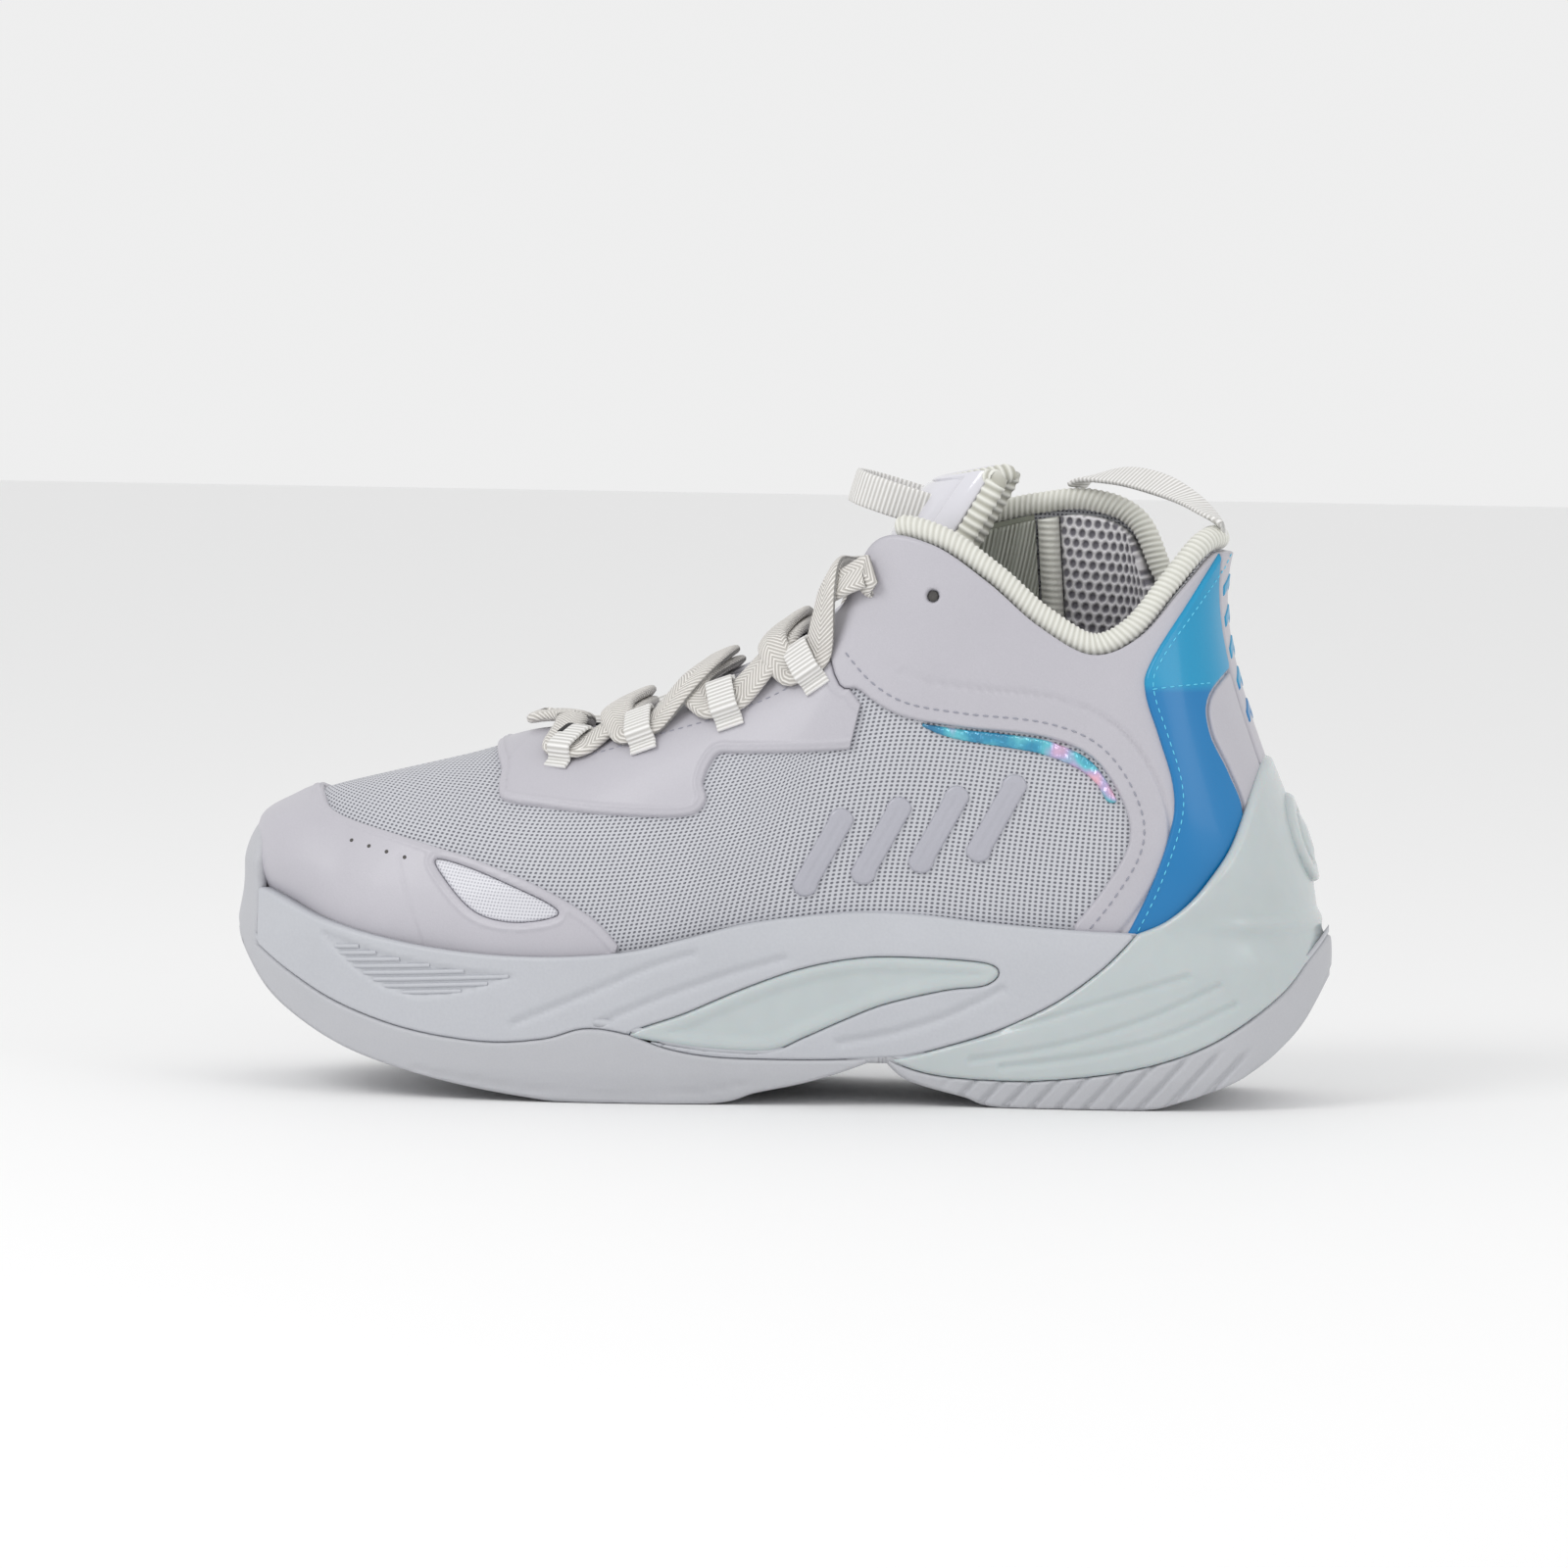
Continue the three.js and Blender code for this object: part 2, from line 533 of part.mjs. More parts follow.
// A badge of four slanted bars on one thin film.
const BARS = { count: 4, first: 10, pitch: 15, lean: 9, half: 3.4, low: 58, high: 84, step: 3.2 };
const BADGE_FILM = 0.5; // thickness of the film
const BADGE_BAR = 1.1; // thickness of a bar
function barOutline(index) {
  const { first, pitch, lean, half, low, high, step } = BARS;
  const x = (first + pitch * index) * KX;
  const [z0, z1] = [(low + step * index) * KZ, (high - step * (BARS.count - 1 - index)) * KZ];
  const end = (middle, z, from) =>
    [0, 1, 2, 3, 4].map((k) => {
      const turn = from + (k * Math.PI) / 4;
      return [middle + half * Math.cos(turn), z + half * Math.sin(turn)];
    });
  return [...end(x + lean, z1, 0), ...end(x, z0, Math.PI)];
}

function makeSideBadge(lateral) {
  const { first, pitch, lean, half, low, high, count } = BARS;
  const reach = half + 2;
  const [x0, x1] = [(first - reach) * KX + lean / 2, (first + pitch * (count - 1) + reach) * KX + lean / 2];
  const middle = ((low + high) / 2) * KZ;
  const film = layer(GAP, GAP + BADGE_FILM).intersect(side(block(x0, x1, middle - 4, middle + 4), lateral));
  const thick = layer(GAP, GAP + BADGE_BAR);
  const bars = Array.from({ length: count }, (_, i) => thick.intersect(side(barOutline(i), lateral)));
  return bars.reduce((badge, bar) => badge.add(bar), film);
}

// ---- Inside the upper --------------------------------------------------------------------
const PAD_FLOOR = 96 * KZ;
const PAD_FRONT = 66 * KX;
const PAD_EDGE = 6; // knit band down the front edge of each ankle pad
const GORE = 1; // knit gore beside the tongue
const GORE_FRONT = 44 * KX;
const GORE_FLOOR = 108 * KZ;
const HEEL_PAD_FRONT = 104 * KX;
const LINING_BACK = PAD_FRONT - PAD_EDGE - 3 * GAP;

const TOP = 250; // above everything
const LEAN = 0.06; // the front edges of the ankle pads lean back by this much per millimetre down

const leanAt = (z) => LEAN * (TOP - z) - 2;

function makeHeelCounter() {
  const shell = layer(INSIDE - COUNTER, INSIDE, RAISED);
  return shell.intersect(prism(block(72 * KX, 200, 0, PAD_FLOOR - GAP)));
}

function makeToePuff() {
  return layer(INSIDE - COUNTER, INSIDE, RAISED).intersect(prism(block(-200, -98 * KX, 0, 200)));
}

function makeHeelLining() {
  const shell = layer(COUNTER_FACE - LINING, COUNTER_FACE, RAISED);
  return shell.intersect(prism(block(LINING_BACK + leanAt(PAD_FLOOR) + GAP, 200, 0, PAD_FLOOR - GAP)));
}

function makeQuarterLining(lateral) {
  const shell = layer(INSIDE - LINING, INSIDE, RAISED);
  const [low, high] = [leanAt(PAD_FLOOR), leanAt(TOP)];
  const [front, back] = [-30 * KX, LINING_BACK + low];
  const column = [[front, 0], [back, 0], [back, PAD_FLOOR], [LINING_BACK + high, TOP], [front, TOP]];
  return pierce(shell.intersect(side(column, lateral)));
}

function leaningColumn(fromX, toX, lowZ) {
  const low = leanAt(lowZ);
  const high = leanAt(TOP);
  return [[fromX + low, lowZ], [toX + low, lowZ], [toX + high, TOP], [fromX + high, TOP]];
}

function makePad(column, fromY = -HALF, toY = HALF) {
  return layer(INSIDE - PAD, INSIDE, RAISED).intersect(prism(column, fromY, toY));
}

function makeAnklePad(lateral) {
  const low = leanAt(PAD_FLOOR);
  const [front, back] = [PAD_FRONT, HEEL_PAD_FRONT - GAP];
  const column = [[front + low, PAD_FLOOR], [back, PAD_FLOOR], [back, TOP], [front + leanAt(TOP), TOP]];
  return lateral ? makePad(column, -HALF, -GAP) : makePad(column, GAP, HALF);
}

// A shell inside the lining between two side-view columns that lean.
function makeCollarStrip(fromX, toX, lowZ, inner, outer, lateral) {
  return layer(inner, outer, RAISED).intersect(side(leaningColumn(fromX, toX, lowZ), lateral));
}

// ---- Tongue ------------------------------------------------------------------------------
// Middle of the front face, half width, how far the edges fall back and down, and thickness.
const TONGUE = [
  [-63, 90.5, 7, 0, 1.5, 2.5],
  [-41, 97.5, 15, 1, 6, 3.5],
  [-23, 106.5, 20, 2, 9, 4.5],
  [-5, 115, 22, 4, 10, 5],
  [8, 123, 23, 6, 10, 5.5],
  [17, 131, 22.5, 9, 8, 6],
  [23.5, 139, 22, 12, 5, 6],
  [29.5, 148, 21.5, 15, 1, 6],
  [36, 157, 21.5, 16, -2, 5.5],
  [41, 162.5, 21, 15, -3, 4.5],
].map(([x, z, half, back, down, thick]) => [x * KX, z * KZ, half * KY, back * KX, down * KZ, thick]);
const TONGUE_HINGE = 6.6; // station where the tongue bends over the top lace

function tonguePoint(v, w, depth) {
  const [x, z, half, back, down, thick] = spline(TONGUE, v, false);
  const [ax, az] = spline(TONGUE, Math.min(TONGUE.length - 1, v + 0.05), false);
  const [bx, bz] = spline(TONGUE, Math.max(0, v - 0.05), false);
  const size = Math.hypot(ax - bx, az - bz);
  const [nx, nz] = [-(az - bz) / size, (ax - bx) / size];
  const sink = depth * thick * (1 - 0.35 * w * w);
  return new THREE.Vector3(x + back * w * w - nx * sink, half * w, z - down * w * w - nz * sink);
}

// Part of the tongue between two stations, with front and back faces.
function tonguePiece(from, to, front, back) {
  const steps = Math.max(3, Math.round((to - from) * 2));
  const across = 8;
  const facets = new Facets();
  const grid = (depth) =>
    Array.from({ length: steps + 1 }, (_, i) =>
      Array.from({ length: across + 1 }, (_, j) =>
        tonguePoint(from + ((to - from) * i) / steps, -1 + (2 * j) / across, depth),
      ),
    );
  const [f, b] = [grid(front), grid(back)];
  for (let i = 0; i < steps; i += 1) {
    for (let j = 0; j < across; j += 1) {
      facets.quad(f[i][j], f[i + 1][j], f[i + 1][j + 1], f[i][j + 1]);
      facets.quad(b[i][j], b[i][j + 1], b[i + 1][j + 1], b[i + 1][j]);
    }
    facets.quad(f[i][0], b[i][0], b[i + 1][0], f[i + 1][0]);
    facets.quad(f[i][across], f[i + 1][across], b[i + 1][across], b[i][across]);
  }
  for (let j = 0; j < across; j += 1) {
    facets.quad(f[0][j], f[0][j + 1], b[0][j + 1], b[0][j]);
    facets.quad(f[steps][j], b[steps][j], b[steps][j + 1], f[steps][j + 1]);
  }
  return facets.solid();
}

// ---- Straps, laces and rolls -------------------------------------------------------------
// Sweeps a section, as [across, up] points, along a route whose face looks in a given direction.
function sweep(points, faces, section, steps) {
  const facets = new Facets();
  const rows = points.map((p, i) => [p.x, p.y, p.z, faces[i].x, faces[i].y, faces[i].z]);
  const end = points.length - 1;
  const spot = (t) => new THREE.Vector3(...spline(rows, Math.max(0, Math.min(end, t)), false));
  const rings = Array.from({ length: steps + 1 }, (_, i) => {
    const t = (i * end) / steps;
    const run = spot(t + 0.02).sub(spot(t - 0.02)).normalize();
    const face = new THREE.Vector3(...spline(rows, t, false).slice(3));
    const across = new THREE.Vector3().crossVectors(run, face).normalize();
    const up = new THREE.Vector3().crossVectors(across, run).normalize();
    return section.map(([a, b]) => spot(t).addScaledVector(across, a).addScaledVector(up, b));
  });
  const count = section.length;
  for (let i = 0; i < steps; i += 1) {
    for (let k = 0; k < count; k += 1) {
      const n = (k + 1) % count;
      facets.quad(rings[i][k], rings[i + 1][k], rings[i + 1][n], rings[i][n]);
    }
  }
  const [first, last] = [rings[0], rings[steps]];
  for (let k = 1; k < count - 1; k += 1) {
    facets.triangle(first[0], first[k], first[k + 1]);
    facets.triangle(last[0], last[k + 1], last[k]);
  }
  return facets.solid();
}

// A flat strap along a route.
function strap(points, faces, width, thick, steps) {
  const [a, b] = [width / 2, thick / 2];
  return sweep(points, faces, [[-a, -b], [a, -b], [a, b], [-a, b]], steps);
}

// Lace rows: station of the throat and how far up the wall each loop sits.
const LACE_ROWS = [
  { s: 12.2, h: 0.84 },
  { s: 11.27, h: 0.85 },
  { s: 10.36, h: 0.86 },
  { s: 9.28, h: 0.85 },
];
const LACE_BAR = { s: 12.62, off: 4.6, rise: 5.2 }; // the straight crossing at the foot of the throat
const LACE_LIFT = GAP + FILM + GAP + 0.6 + LACE_THICK / 2;

function wallFrame(s, h) {
  const along = wall(wrap(s - 0.05), h).sub(wall(wrap(s + 0.05), h)).normalize();
  return { at: wall(s, h), up: outward(s, h), along: s > SIDE ? along.negate() : along };
}

function laceFrame(row, lateral) {
  return wallFrame(lateral ? row.s : LOOP - row.s, row.h);
}

// One run of the lace, from the toe up to the wing, loop by loop and from side to side.
function laceRun(startsLateral, isOver) {
  const points = [];
  const faces = [];
  const push = (point, face) => {
    points.push(point);
    faces.push(face);
  };
  LACE_ROWS.forEach((row, k) => {
    const lateral = (k % 2 === 0) === startsLateral;
    const frame = laceFrame(row, lateral);
    for (const reach of [-1.8, 0, 1.8]) {
      const lift = frame.at.clone().addScaledVector(frame.up, LACE_LIFT);
      push(lift.addScaledVector(frame.along, (reach * TAB_LENGTH) / 2), frame.up);
    }
    const nextS = LACE_ROWS[k + 1]?.s ?? EYELET.s;
    const near = row.s * 0.52 + nextS * 0.48;
    const far = row.s * 0.56 + nextS * 0.44;
    const [leave, land] = lateral ? [near, LOOP - far] : [LOOP - near, far];
    const clear = (isOver ? 6.6 : 4.2) + (LACE_ROWS[k + 1] ? 0 : 1.2);
    push(skin(leave, 1, clear), outward(leave, 1));
    const middle = crossing(k);
    push(middle.at.clone().addScaledVector(middle.up, isOver ? 4.4 : 2), middle.up);
    push(skin(land, 1, clear), outward(land, 1));
  });
  const endsLateral = (LACE_ROWS.length % 2 === 0) === startsLateral;
  const eye = wallFrame(endsLateral ? EYELET.s : LOOP - EYELET.s, EYELET.h);
  const inward = eye.along.clone().negate();
  const round = eye.up.clone().add(inward).normalize();
  const lift = (out, ahead) => eye.at.clone().addScaledVector(eye.up, out).addScaledVector(eye.along, ahead);
  push(lift(4, 4), eye.up);
  push(lift(2.6, 0.6), round);
  push(lift(-1, 0), inward);
  push(lift(-5, 0), inward);
  return { points, faces };
}

const CROSSINGS = [1.2, 2.45, 3.75, 5.5]; // tongue stations where the two runs cross

// Where two runs cross over the tongue, above row k.
function crossing(k) {
  const v = CROSSINGS[k];
  const front = tonguePoint(v, 0, 0);
  const run = tonguePoint(v + 0.1, 0, 0).sub(tonguePoint(v - 0.1, 0, 0)).normalize();
  return { at: front, up: new THREE.Vector3(-run.z, 0, run.x) };
}

function makeLace(clearance = 0) {
  const first = laceRun(true, true);
  const second = laceRun(false, false);
  const low = LACE_BAR.s;
  const up = new THREE.Vector3(-0.35, 0, 1).normalize();
  const over = wall(SIDE - 4, 1).addScaledVector(up, LACE_BAR.rise);
  const bar = [skin(low, 1, LACE_BAR.off), over, skin(LOOP - low, 1, LACE_BAR.off)];
  const points = [...first.points].reverse().concat(bar, second.points);
  const barFaces = [outward(low, 1), up, outward(LOOP - low, 1)];
  const faces = [...first.faces].reverse().concat(barFaces, second.faces);
  const [width, thick] = [LACE_WIDTH + 2 * clearance, LACE_THICK + 2 * clearance];
  return strap(points, faces, width, thick, (points.length - 1) * 2);
}

// A webbing loop over the lace: a roof on two legs, standing on the eyestay.
function makeLaceTab(index, lateral) {
  const { at: foot, up, along } = laceFrame(LACE_ROWS[index], lateral);
  const half = LACE_WIDTH / 2 + 3 * LACE_ROOM;
  const low = GAP + FILM + GAP + 0.25;
  const high = LACE_LIFT + LACE_THICK / 2 + 2 * LACE_ROOM;
  const shape = new THREE.Shape(
    [
      [-half - TAB_WALL, low], [-half, low], [-half, high], [half, high], [half, low], [half + TAB_WALL, low],
      [half + TAB_WALL, high + TAB_WALL - 0.6], [half + 0.4, high + TAB_WALL], [-half - 0.4, high + TAB_WALL],
      [-half - TAB_WALL, high + TAB_WALL - 0.6],
    ].map(([x, y]) => new THREE.Vector2(x, y)),
  );
  const geometry = new THREE.ExtrudeGeometry(shape, { depth: TAB_LENGTH, bevelEnabled: false });
  geometry.translate(0, 0, -TAB_LENGTH / 2);
  const across = new THREE.Vector3().crossVectors(up, along).normalize();
  const square = new THREE.Vector3().crossVectors(along, across).normalize();
  geometry.applyMatrix4(new THREE.Matrix4().makeBasis(across, square, along).setPosition(foot));
  return solidOf(geometry).subtract(makeLace(GAP));
}

// A round roll along the collar edge, from one front wing round the heel to the other.
function makeCollarBinding(radius = ROLL / 2) {
  const centres = [];
  const faces = [];
  for (let k = COLLAR_STEPS; k >= -COLLAR_STEPS; k -= 1) {
    const s = wrap((k * SIDE) / AROUND);
    const run = wall(wrap(s + 0.1), 1).sub(wall(wrap(s - 0.1), 1)).normalize();
    const climb = wall(s, 1).sub(wall(s, 0.97));
    const up = climb.addScaledVector(run, -climb.dot(run)).normalize();
    centres.push(skin(s, 1, ROLL_MIDDLE).addScaledVector(up, ROLL / 2 + GAP + ROLL_LIFT));
    faces.push(up);
  }
  const section = Array.from({ length: 10 }, (_, k) => {
    const turn = (k * Math.PI) / 5;
    return [radius * Math.cos(turn), radius * Math.sin(turn)];
  });
  return sweep(centres, faces, section, centres.length - 1);
}

// Turns a solid about an axis along Y through [x, z], by degrees towards the heel.
function turned(solid, [x, z], degrees) {
  return solid.translate([-x, 0, -z]).rotate([0, degrees, 0]).translate([x, 0, z]);
}

const TONGUE_PIVOT = at([[35, 144.5]])[0];
const TONGUE_SWING = [-8, 18]; // degrees, forward and back
const LOOP_PIVOT = at([[40, 154]])[0];
const LOOP_SWING = [-12, 12];
const PLAY = 1.5; // degrees beyond each limit that stay clear
const HINGE_GAP = 0.05; // of a station, between the tongue and its top
const SWING_ROOM = 0.08; // of the tongue's thickness, before and behind its top

const makeTongueTop = () => tonguePiece(TONGUE_HINGE, TONGUE.length - 1, 0, 1);

// The body of the tongue, hollowed where the top swings into it.
function makeTongueBody() {
  const [forward, back] = TONGUE_SWING;
  const end = TONGUE_HINGE - HINGE_GAP;
  const room = tonguePiece(end, TONGUE.length - 1, -SWING_ROOM, 1 + SWING_ROOM);
  const middle = (k) => forward + (k * (back - forward)) / 7;
  const angles = [forward - PLAY, ...[0, 1, 2, 3, 4, 5, 6, 7].map(middle), back + PLAY];
  const whole = tonguePiece(0, end, 0, 1);
  return angles.reduce((body, angle) => body.subtract(turned(room, TONGUE_PIVOT, angle)), whole);
}

function makeTongueLoop() {
  const [x, z] = LOOP_PIVOT;
  const reach = [6, 0, -7, -14, -20, -22.5];
  const half = [11, 11.5, 12, 11, 7, 0];
  const rise = 0.3; // climbs this much for each millimetre forward
  const leg = reach.map((forward, i) => new THREE.Vector3(x + forward, half[i] * KY, z - rise * forward));
  const points = [...leg.map((p) => p.clone().setY(-p.y)), ...leg.slice(0, -1).reverse()];
  const lift = new THREE.Vector3(rise, 0, 1).normalize();
  const faces = points.map((p, i) => {
    const a = points[Math.max(0, i - 1)];
    const b = points[Math.min(points.length - 1, i + 1)];
    return new THREE.Vector3().crossVectors(lift, b.clone().sub(a)).normalize();
  });
  const loop = strap(points, faces, LOOP_WIDTH, WEBBING, 20);
  const behind = tonguePiece(TONGUE_HINGE, TONGUE.length - 1, -GAP / 5, 4);
  const [down, up] = LOOP_SWING;
  return [down, 0, up].reduce((body, angle) => body.subtract(turned(behind, LOOP_PIVOT, -angle)), loop);
}

// The heel strap arches from the top of the heel to the top of the medial ankle pad.
const STRAP_ROUTE = [[113, -3, 152.7], [106, 5, 157.6], [97, 13, 161.4], [87, 20.5, 163.2],
  [77.5, 26.5, 162.2]].map( ([x, y, z]) => new THREE.Vector3(x * KX, y * KY, z * KZ), );
const STRAP_SWING = 12; // degrees either way about the line through its sewn ends

function makeHeelStrap() {
  const [start, end] = [STRAP_ROUTE[0], STRAP_ROUTE[STRAP_ROUTE.length - 1]];
  const faces = STRAP_ROUTE.map(() => new THREE.Vector3(0.3, 0.35, 0.9).normalize());
  const ribbon = strap(STRAP_ROUTE, faces, STRAP_WIDTH, WEBBING, 12);
  const roll = makeCollarBinding(ROLL / 2 + GAP);
  const line = end.clone().sub(start).normalize();
  const about = (degrees) => {
    const turn = new THREE.Matrix4().makeRotationAxis(line, THREE.MathUtils.degToRad(degrees));
    const there = new THREE.Matrix4().makeTranslation(start.x, start.y, start.z);
    const back = new THREE.Matrix4().makeTranslation(-start.x, -start.y, -start.z);
    return there.multiply(turn).multiply(back).elements;
  };
  const swing = STRAP_SWING + PLAY;
  return [-swing, 0, swing].reduce((body, angle) => body.subtract(roll.transform(about(angle))), ribbon);
}

// ---- Assembly ----------------------------------------------------------------------------
const FINISHES = {
  rubber: { color: 0xc4c4c8, roughness: 0.6 },
  foam: { color: 0xd2d4d8, roughness: 0.55 },
  clear: { color: 0xc6cbc8, roughness: 0.25 },
  mesh: { color: 0xc2c3c8, roughness: 0.9 },
  leather: { color: 0xd8d5da, roughness: 0.45 },
  blue: { color: 0x0a82b4, roughness: 0.4 },
  knit: { color: 0xcfcdc2, roughness: 0.95 },
  gloss: { color: 0xe2e2e6, roughness: 0.2 },
  webbing: { color: 0xe0dcda, roughness: 0.8 },
  board: { color: 0xb9b1a2, roughness: 0.9 },
  dark: { color: 0x6c6f62, roughness: 0.9 },
};

const shoe = new THREE.Group();

function add(name, solid, finish) {
  const material = new THREE.MeshStandardMaterial({ ...FINISHES[finish], metalness: 0 });
  const mesh = new THREE.Mesh(geometryOf(solid), material);
  mesh.name = name;
  shoe.add(mesh);
}

function addSole() {
  add("outsole_forefoot", makeOutsoleForefoot(), "rubber");
  add("outsole_heel", makeOutsoleHeel(), "rubber");
  add("midsole", makeMidsole(), "foam");
  add("arch_insert_lateral", makeArchInsert(true), "clear");
  add("arch_insert_medial", makeArchInsert(false), "clear");
  add("heel_cup", makeHeelCup(), "clear");
  add("heel_medallion", makeMedallion(), "gloss");
  add("strobel_board", sheetInside(INSIDE, 0, BOARD), "board");
  add("sockliner", sheetInside(LINED_FACE, BOARD + GAP, BOARD + GAP + SOCK), "dark");
}

function addUpper() {
  add("upper_mesh", makeUpperMesh(), "mesh");
  add("toe_cap", makeToeCap(), "leather");
  for (const [name, lateral] of [["lateral", true], ["medial", false]]) {
    add(`toe_window_${name}`, makeToeWindow(lateral), "mesh");
    add(`eyestay_${name}`, makeEyestay(lateral), "leather");
    add(`quarter_${name}`, makeQuarter(lateral), "leather");
    add(`heel_band_${name}`, makeHeelBand(lateral), "blue");
    add(`piping_${name}`, makePiping(lateral), "blue");
    add(`side_badge_${name}`, makeSideBadge(lateral), "gloss");
    add(`quarter_lining_${name}`, makeQuarterLining(lateral), "dark");
  }
  add("back_stay", makeBackStay(), "blue");
  add("heel_counter", makeHeelCounter(), "board");
  add("toe_puff", makeToePuff(), "board");
  add("heel_lining", makeHeelLining(), "dark");
}

function addCollar() {
  const [low, face] = [PAD_FLOOR, INSIDE - LINING - GAP];
  const [bandFront, bandBack] = [PAD_FRONT - GAP - PAD_EDGE, PAD_FRONT - GAP];
  for (const [name, lateral] of [["lateral", true], ["medial", false]]) {
    add(`ankle_pad_${name}`, makeAnklePad(lateral), "knit");
    const band = makeCollarStrip(bandFront, bandBack, low, INSIDE - PAD, INSIDE, lateral);
    add(`pad_binding_${name}`, band, "knit");
    const gore = makeCollarStrip(GORE_FRONT, bandFront - GAP, GORE_FLOOR, face - GORE, face, lateral);
    add(`gore_${name}`, gore, "knit");
  }
  add("heel_pad", makePad(block(HEEL_PAD_FRONT, 200, PAD_FLOOR, TOP)), "knit");
  add("collar_binding", makeCollarBinding(), "knit");
  add("heel_strap", makeHeelStrap(), "webbing");
}

function addTongue() {
  add("tongue", makeTongueBody(), "mesh");
  add("tongue_top", makeTongueTop(), "gloss");
  add("tongue_loop", makeTongueLoop(), "webbing");
}

function addLacing() {
  add("lace", makeLace(), "webbing");
  for (const [name, lateral] of [["lateral", true], ["medial", false]]) {
    LACE_ROWS.forEach((_, i) => add(`lace_loop_${name}_${i + 1}`, makeLaceTab(i, lateral), "webbing"));
  }
}

addSole();
addUpper();
addCollar();
addTongue();
addLacing();

export default shoe;
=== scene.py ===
import logging
from dataclasses import dataclass, field
from enum import Enum
from typing import Callable, Sequence

import bpy
import numpy as np
from mathutils import Matrix, Vector


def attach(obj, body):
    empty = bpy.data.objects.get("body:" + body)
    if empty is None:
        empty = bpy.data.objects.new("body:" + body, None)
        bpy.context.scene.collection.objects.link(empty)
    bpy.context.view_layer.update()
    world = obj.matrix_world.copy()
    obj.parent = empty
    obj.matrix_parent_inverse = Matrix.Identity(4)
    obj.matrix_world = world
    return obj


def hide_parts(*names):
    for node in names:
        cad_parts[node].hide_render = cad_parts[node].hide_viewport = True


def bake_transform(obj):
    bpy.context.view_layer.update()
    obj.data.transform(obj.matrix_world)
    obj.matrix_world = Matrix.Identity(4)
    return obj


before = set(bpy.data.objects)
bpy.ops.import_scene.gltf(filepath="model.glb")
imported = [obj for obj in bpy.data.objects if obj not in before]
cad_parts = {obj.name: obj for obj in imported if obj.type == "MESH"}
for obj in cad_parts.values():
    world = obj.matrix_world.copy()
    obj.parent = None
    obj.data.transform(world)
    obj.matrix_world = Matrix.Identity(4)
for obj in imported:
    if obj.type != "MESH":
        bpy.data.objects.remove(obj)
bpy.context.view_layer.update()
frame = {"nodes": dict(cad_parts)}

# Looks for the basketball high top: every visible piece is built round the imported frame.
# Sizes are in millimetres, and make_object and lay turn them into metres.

log = logging.getLogger("high_top")
logging.basicConfig(level=logging.INFO, format="%(name)s: %(message)s")

Array = np.ndarray
MM = 0.001  # a millimetre in metres
FAR = 400.0  # beyond every piece
TINY = 1e-12  # keeps a division from failing


# ---- Numbers ------------------------------------------------------------------------------
def linear(code: str) -> tuple[float, float, float, float]:
    """Turns an sRGB hex code into linear colour.

    Args:
        code: six hex digits, such as "c8c8ce".

    Returns:
        Linear red, green, blue and an alpha of one.
    """
    values = [int(code[i : i + 2], 16) / 255 for i in (0, 2, 4)]
    return (*[v / 12.92 if v <= 0.04045 else ((v + 0.055) / 1.055) ** 2.4 for v in values], 1.0)


def spline(rows: Array, t: Array, closed: bool) -> Array:
    """Catmull-Rom curve through rows.

    Args:
        rows: one row of numbers for each knot.
        t: where to sample, in knots.
        closed: whether the last row joins the first.

    Returns:
        One row for each t.
    """
    rows, t = np.asarray(rows, float), np.atleast_1d(np.asarray(t, float))
    count = len(rows)
    start = np.floor(t).astype(int)
    if not closed:
        start = np.clip(start, 0, count - 2)
    f = (t - start)[:, None]
    a, b, c, d = (rows[(start + k) % count if closed else np.clip(start + k, 0, count - 1)] for k in (-1, 0, 1, 2))
    g = 1 - f
    return b * (1 + 2 * f) * g * g + (c - a) / 2 * f * g * g + c * f * f * (3 - 2 * f) - (d - b) / 2 * f * f * g


def unit(v: Array) -> Array:
    """Each row scaled to length one."""
    return v / np.maximum(np.linalg.norm(v, axis=-1, keepdims=True), TINY)


def ease(x: Array) -> Array:
    """A smooth step from 0 to 1 as x goes from 0 to 1."""
    x = np.clip(x, 0, 1)
    return x * x * (3 - 2 * x)


def bump_at(x: Array, middle: float, half: float) -> Array:
    """A smooth ridge of height one round middle, nothing beyond half."""
    return 1 - ease(np.abs(x - middle) / half)


def rounded(x: Array) -> Array:
    """A quarter round from 0 to 1 as x goes from 0 to 1."""
    return np.sqrt(np.clip(1 - (1 - np.clip(x, 0, 1)) ** 2, 0, 1))


def ripple(x: Array, pitch: float) -> Array:
    """A wave between 0 and 1, highest where x is 0."""
    return 0.5 + 0.5 * np.cos(2 * np.pi * x / pitch)


def walk(points: Array) -> Array:
    """How far each point lies along a line of points."""
    return np.concatenate([[0], np.cumsum(np.linalg.norm(np.diff(points, axis=0), axis=1))])


def smooth(points: Sequence[Sequence[float]], per_span: int = 6) -> Array:
    """A smooth closed outline; a point given twice is a corner.

    Args:
        points: side-view points as [x, z].
        per_span: samples between two points.

    Returns:
        The outline's samples.
    """
    knots = np.asarray(points, float)
    out = []
    for i, here in enumerate(knots):
        if np.allclose(here, knots[(i + 1) % len(knots)]):
            continue
        out.append(spline(knots, i + np.arange(per_span) / per_span, True))
    return np.concatenate(out)


def line(points: Sequence[Sequence[float]], per_span: int = 6) -> Array:
    """A smooth open line through side-view points."""
    knots = np.asarray(points, float)
    return spline(knots, np.linspace(0, len(knots) - 1, per_span * (len(knots) - 1) + 1), False)


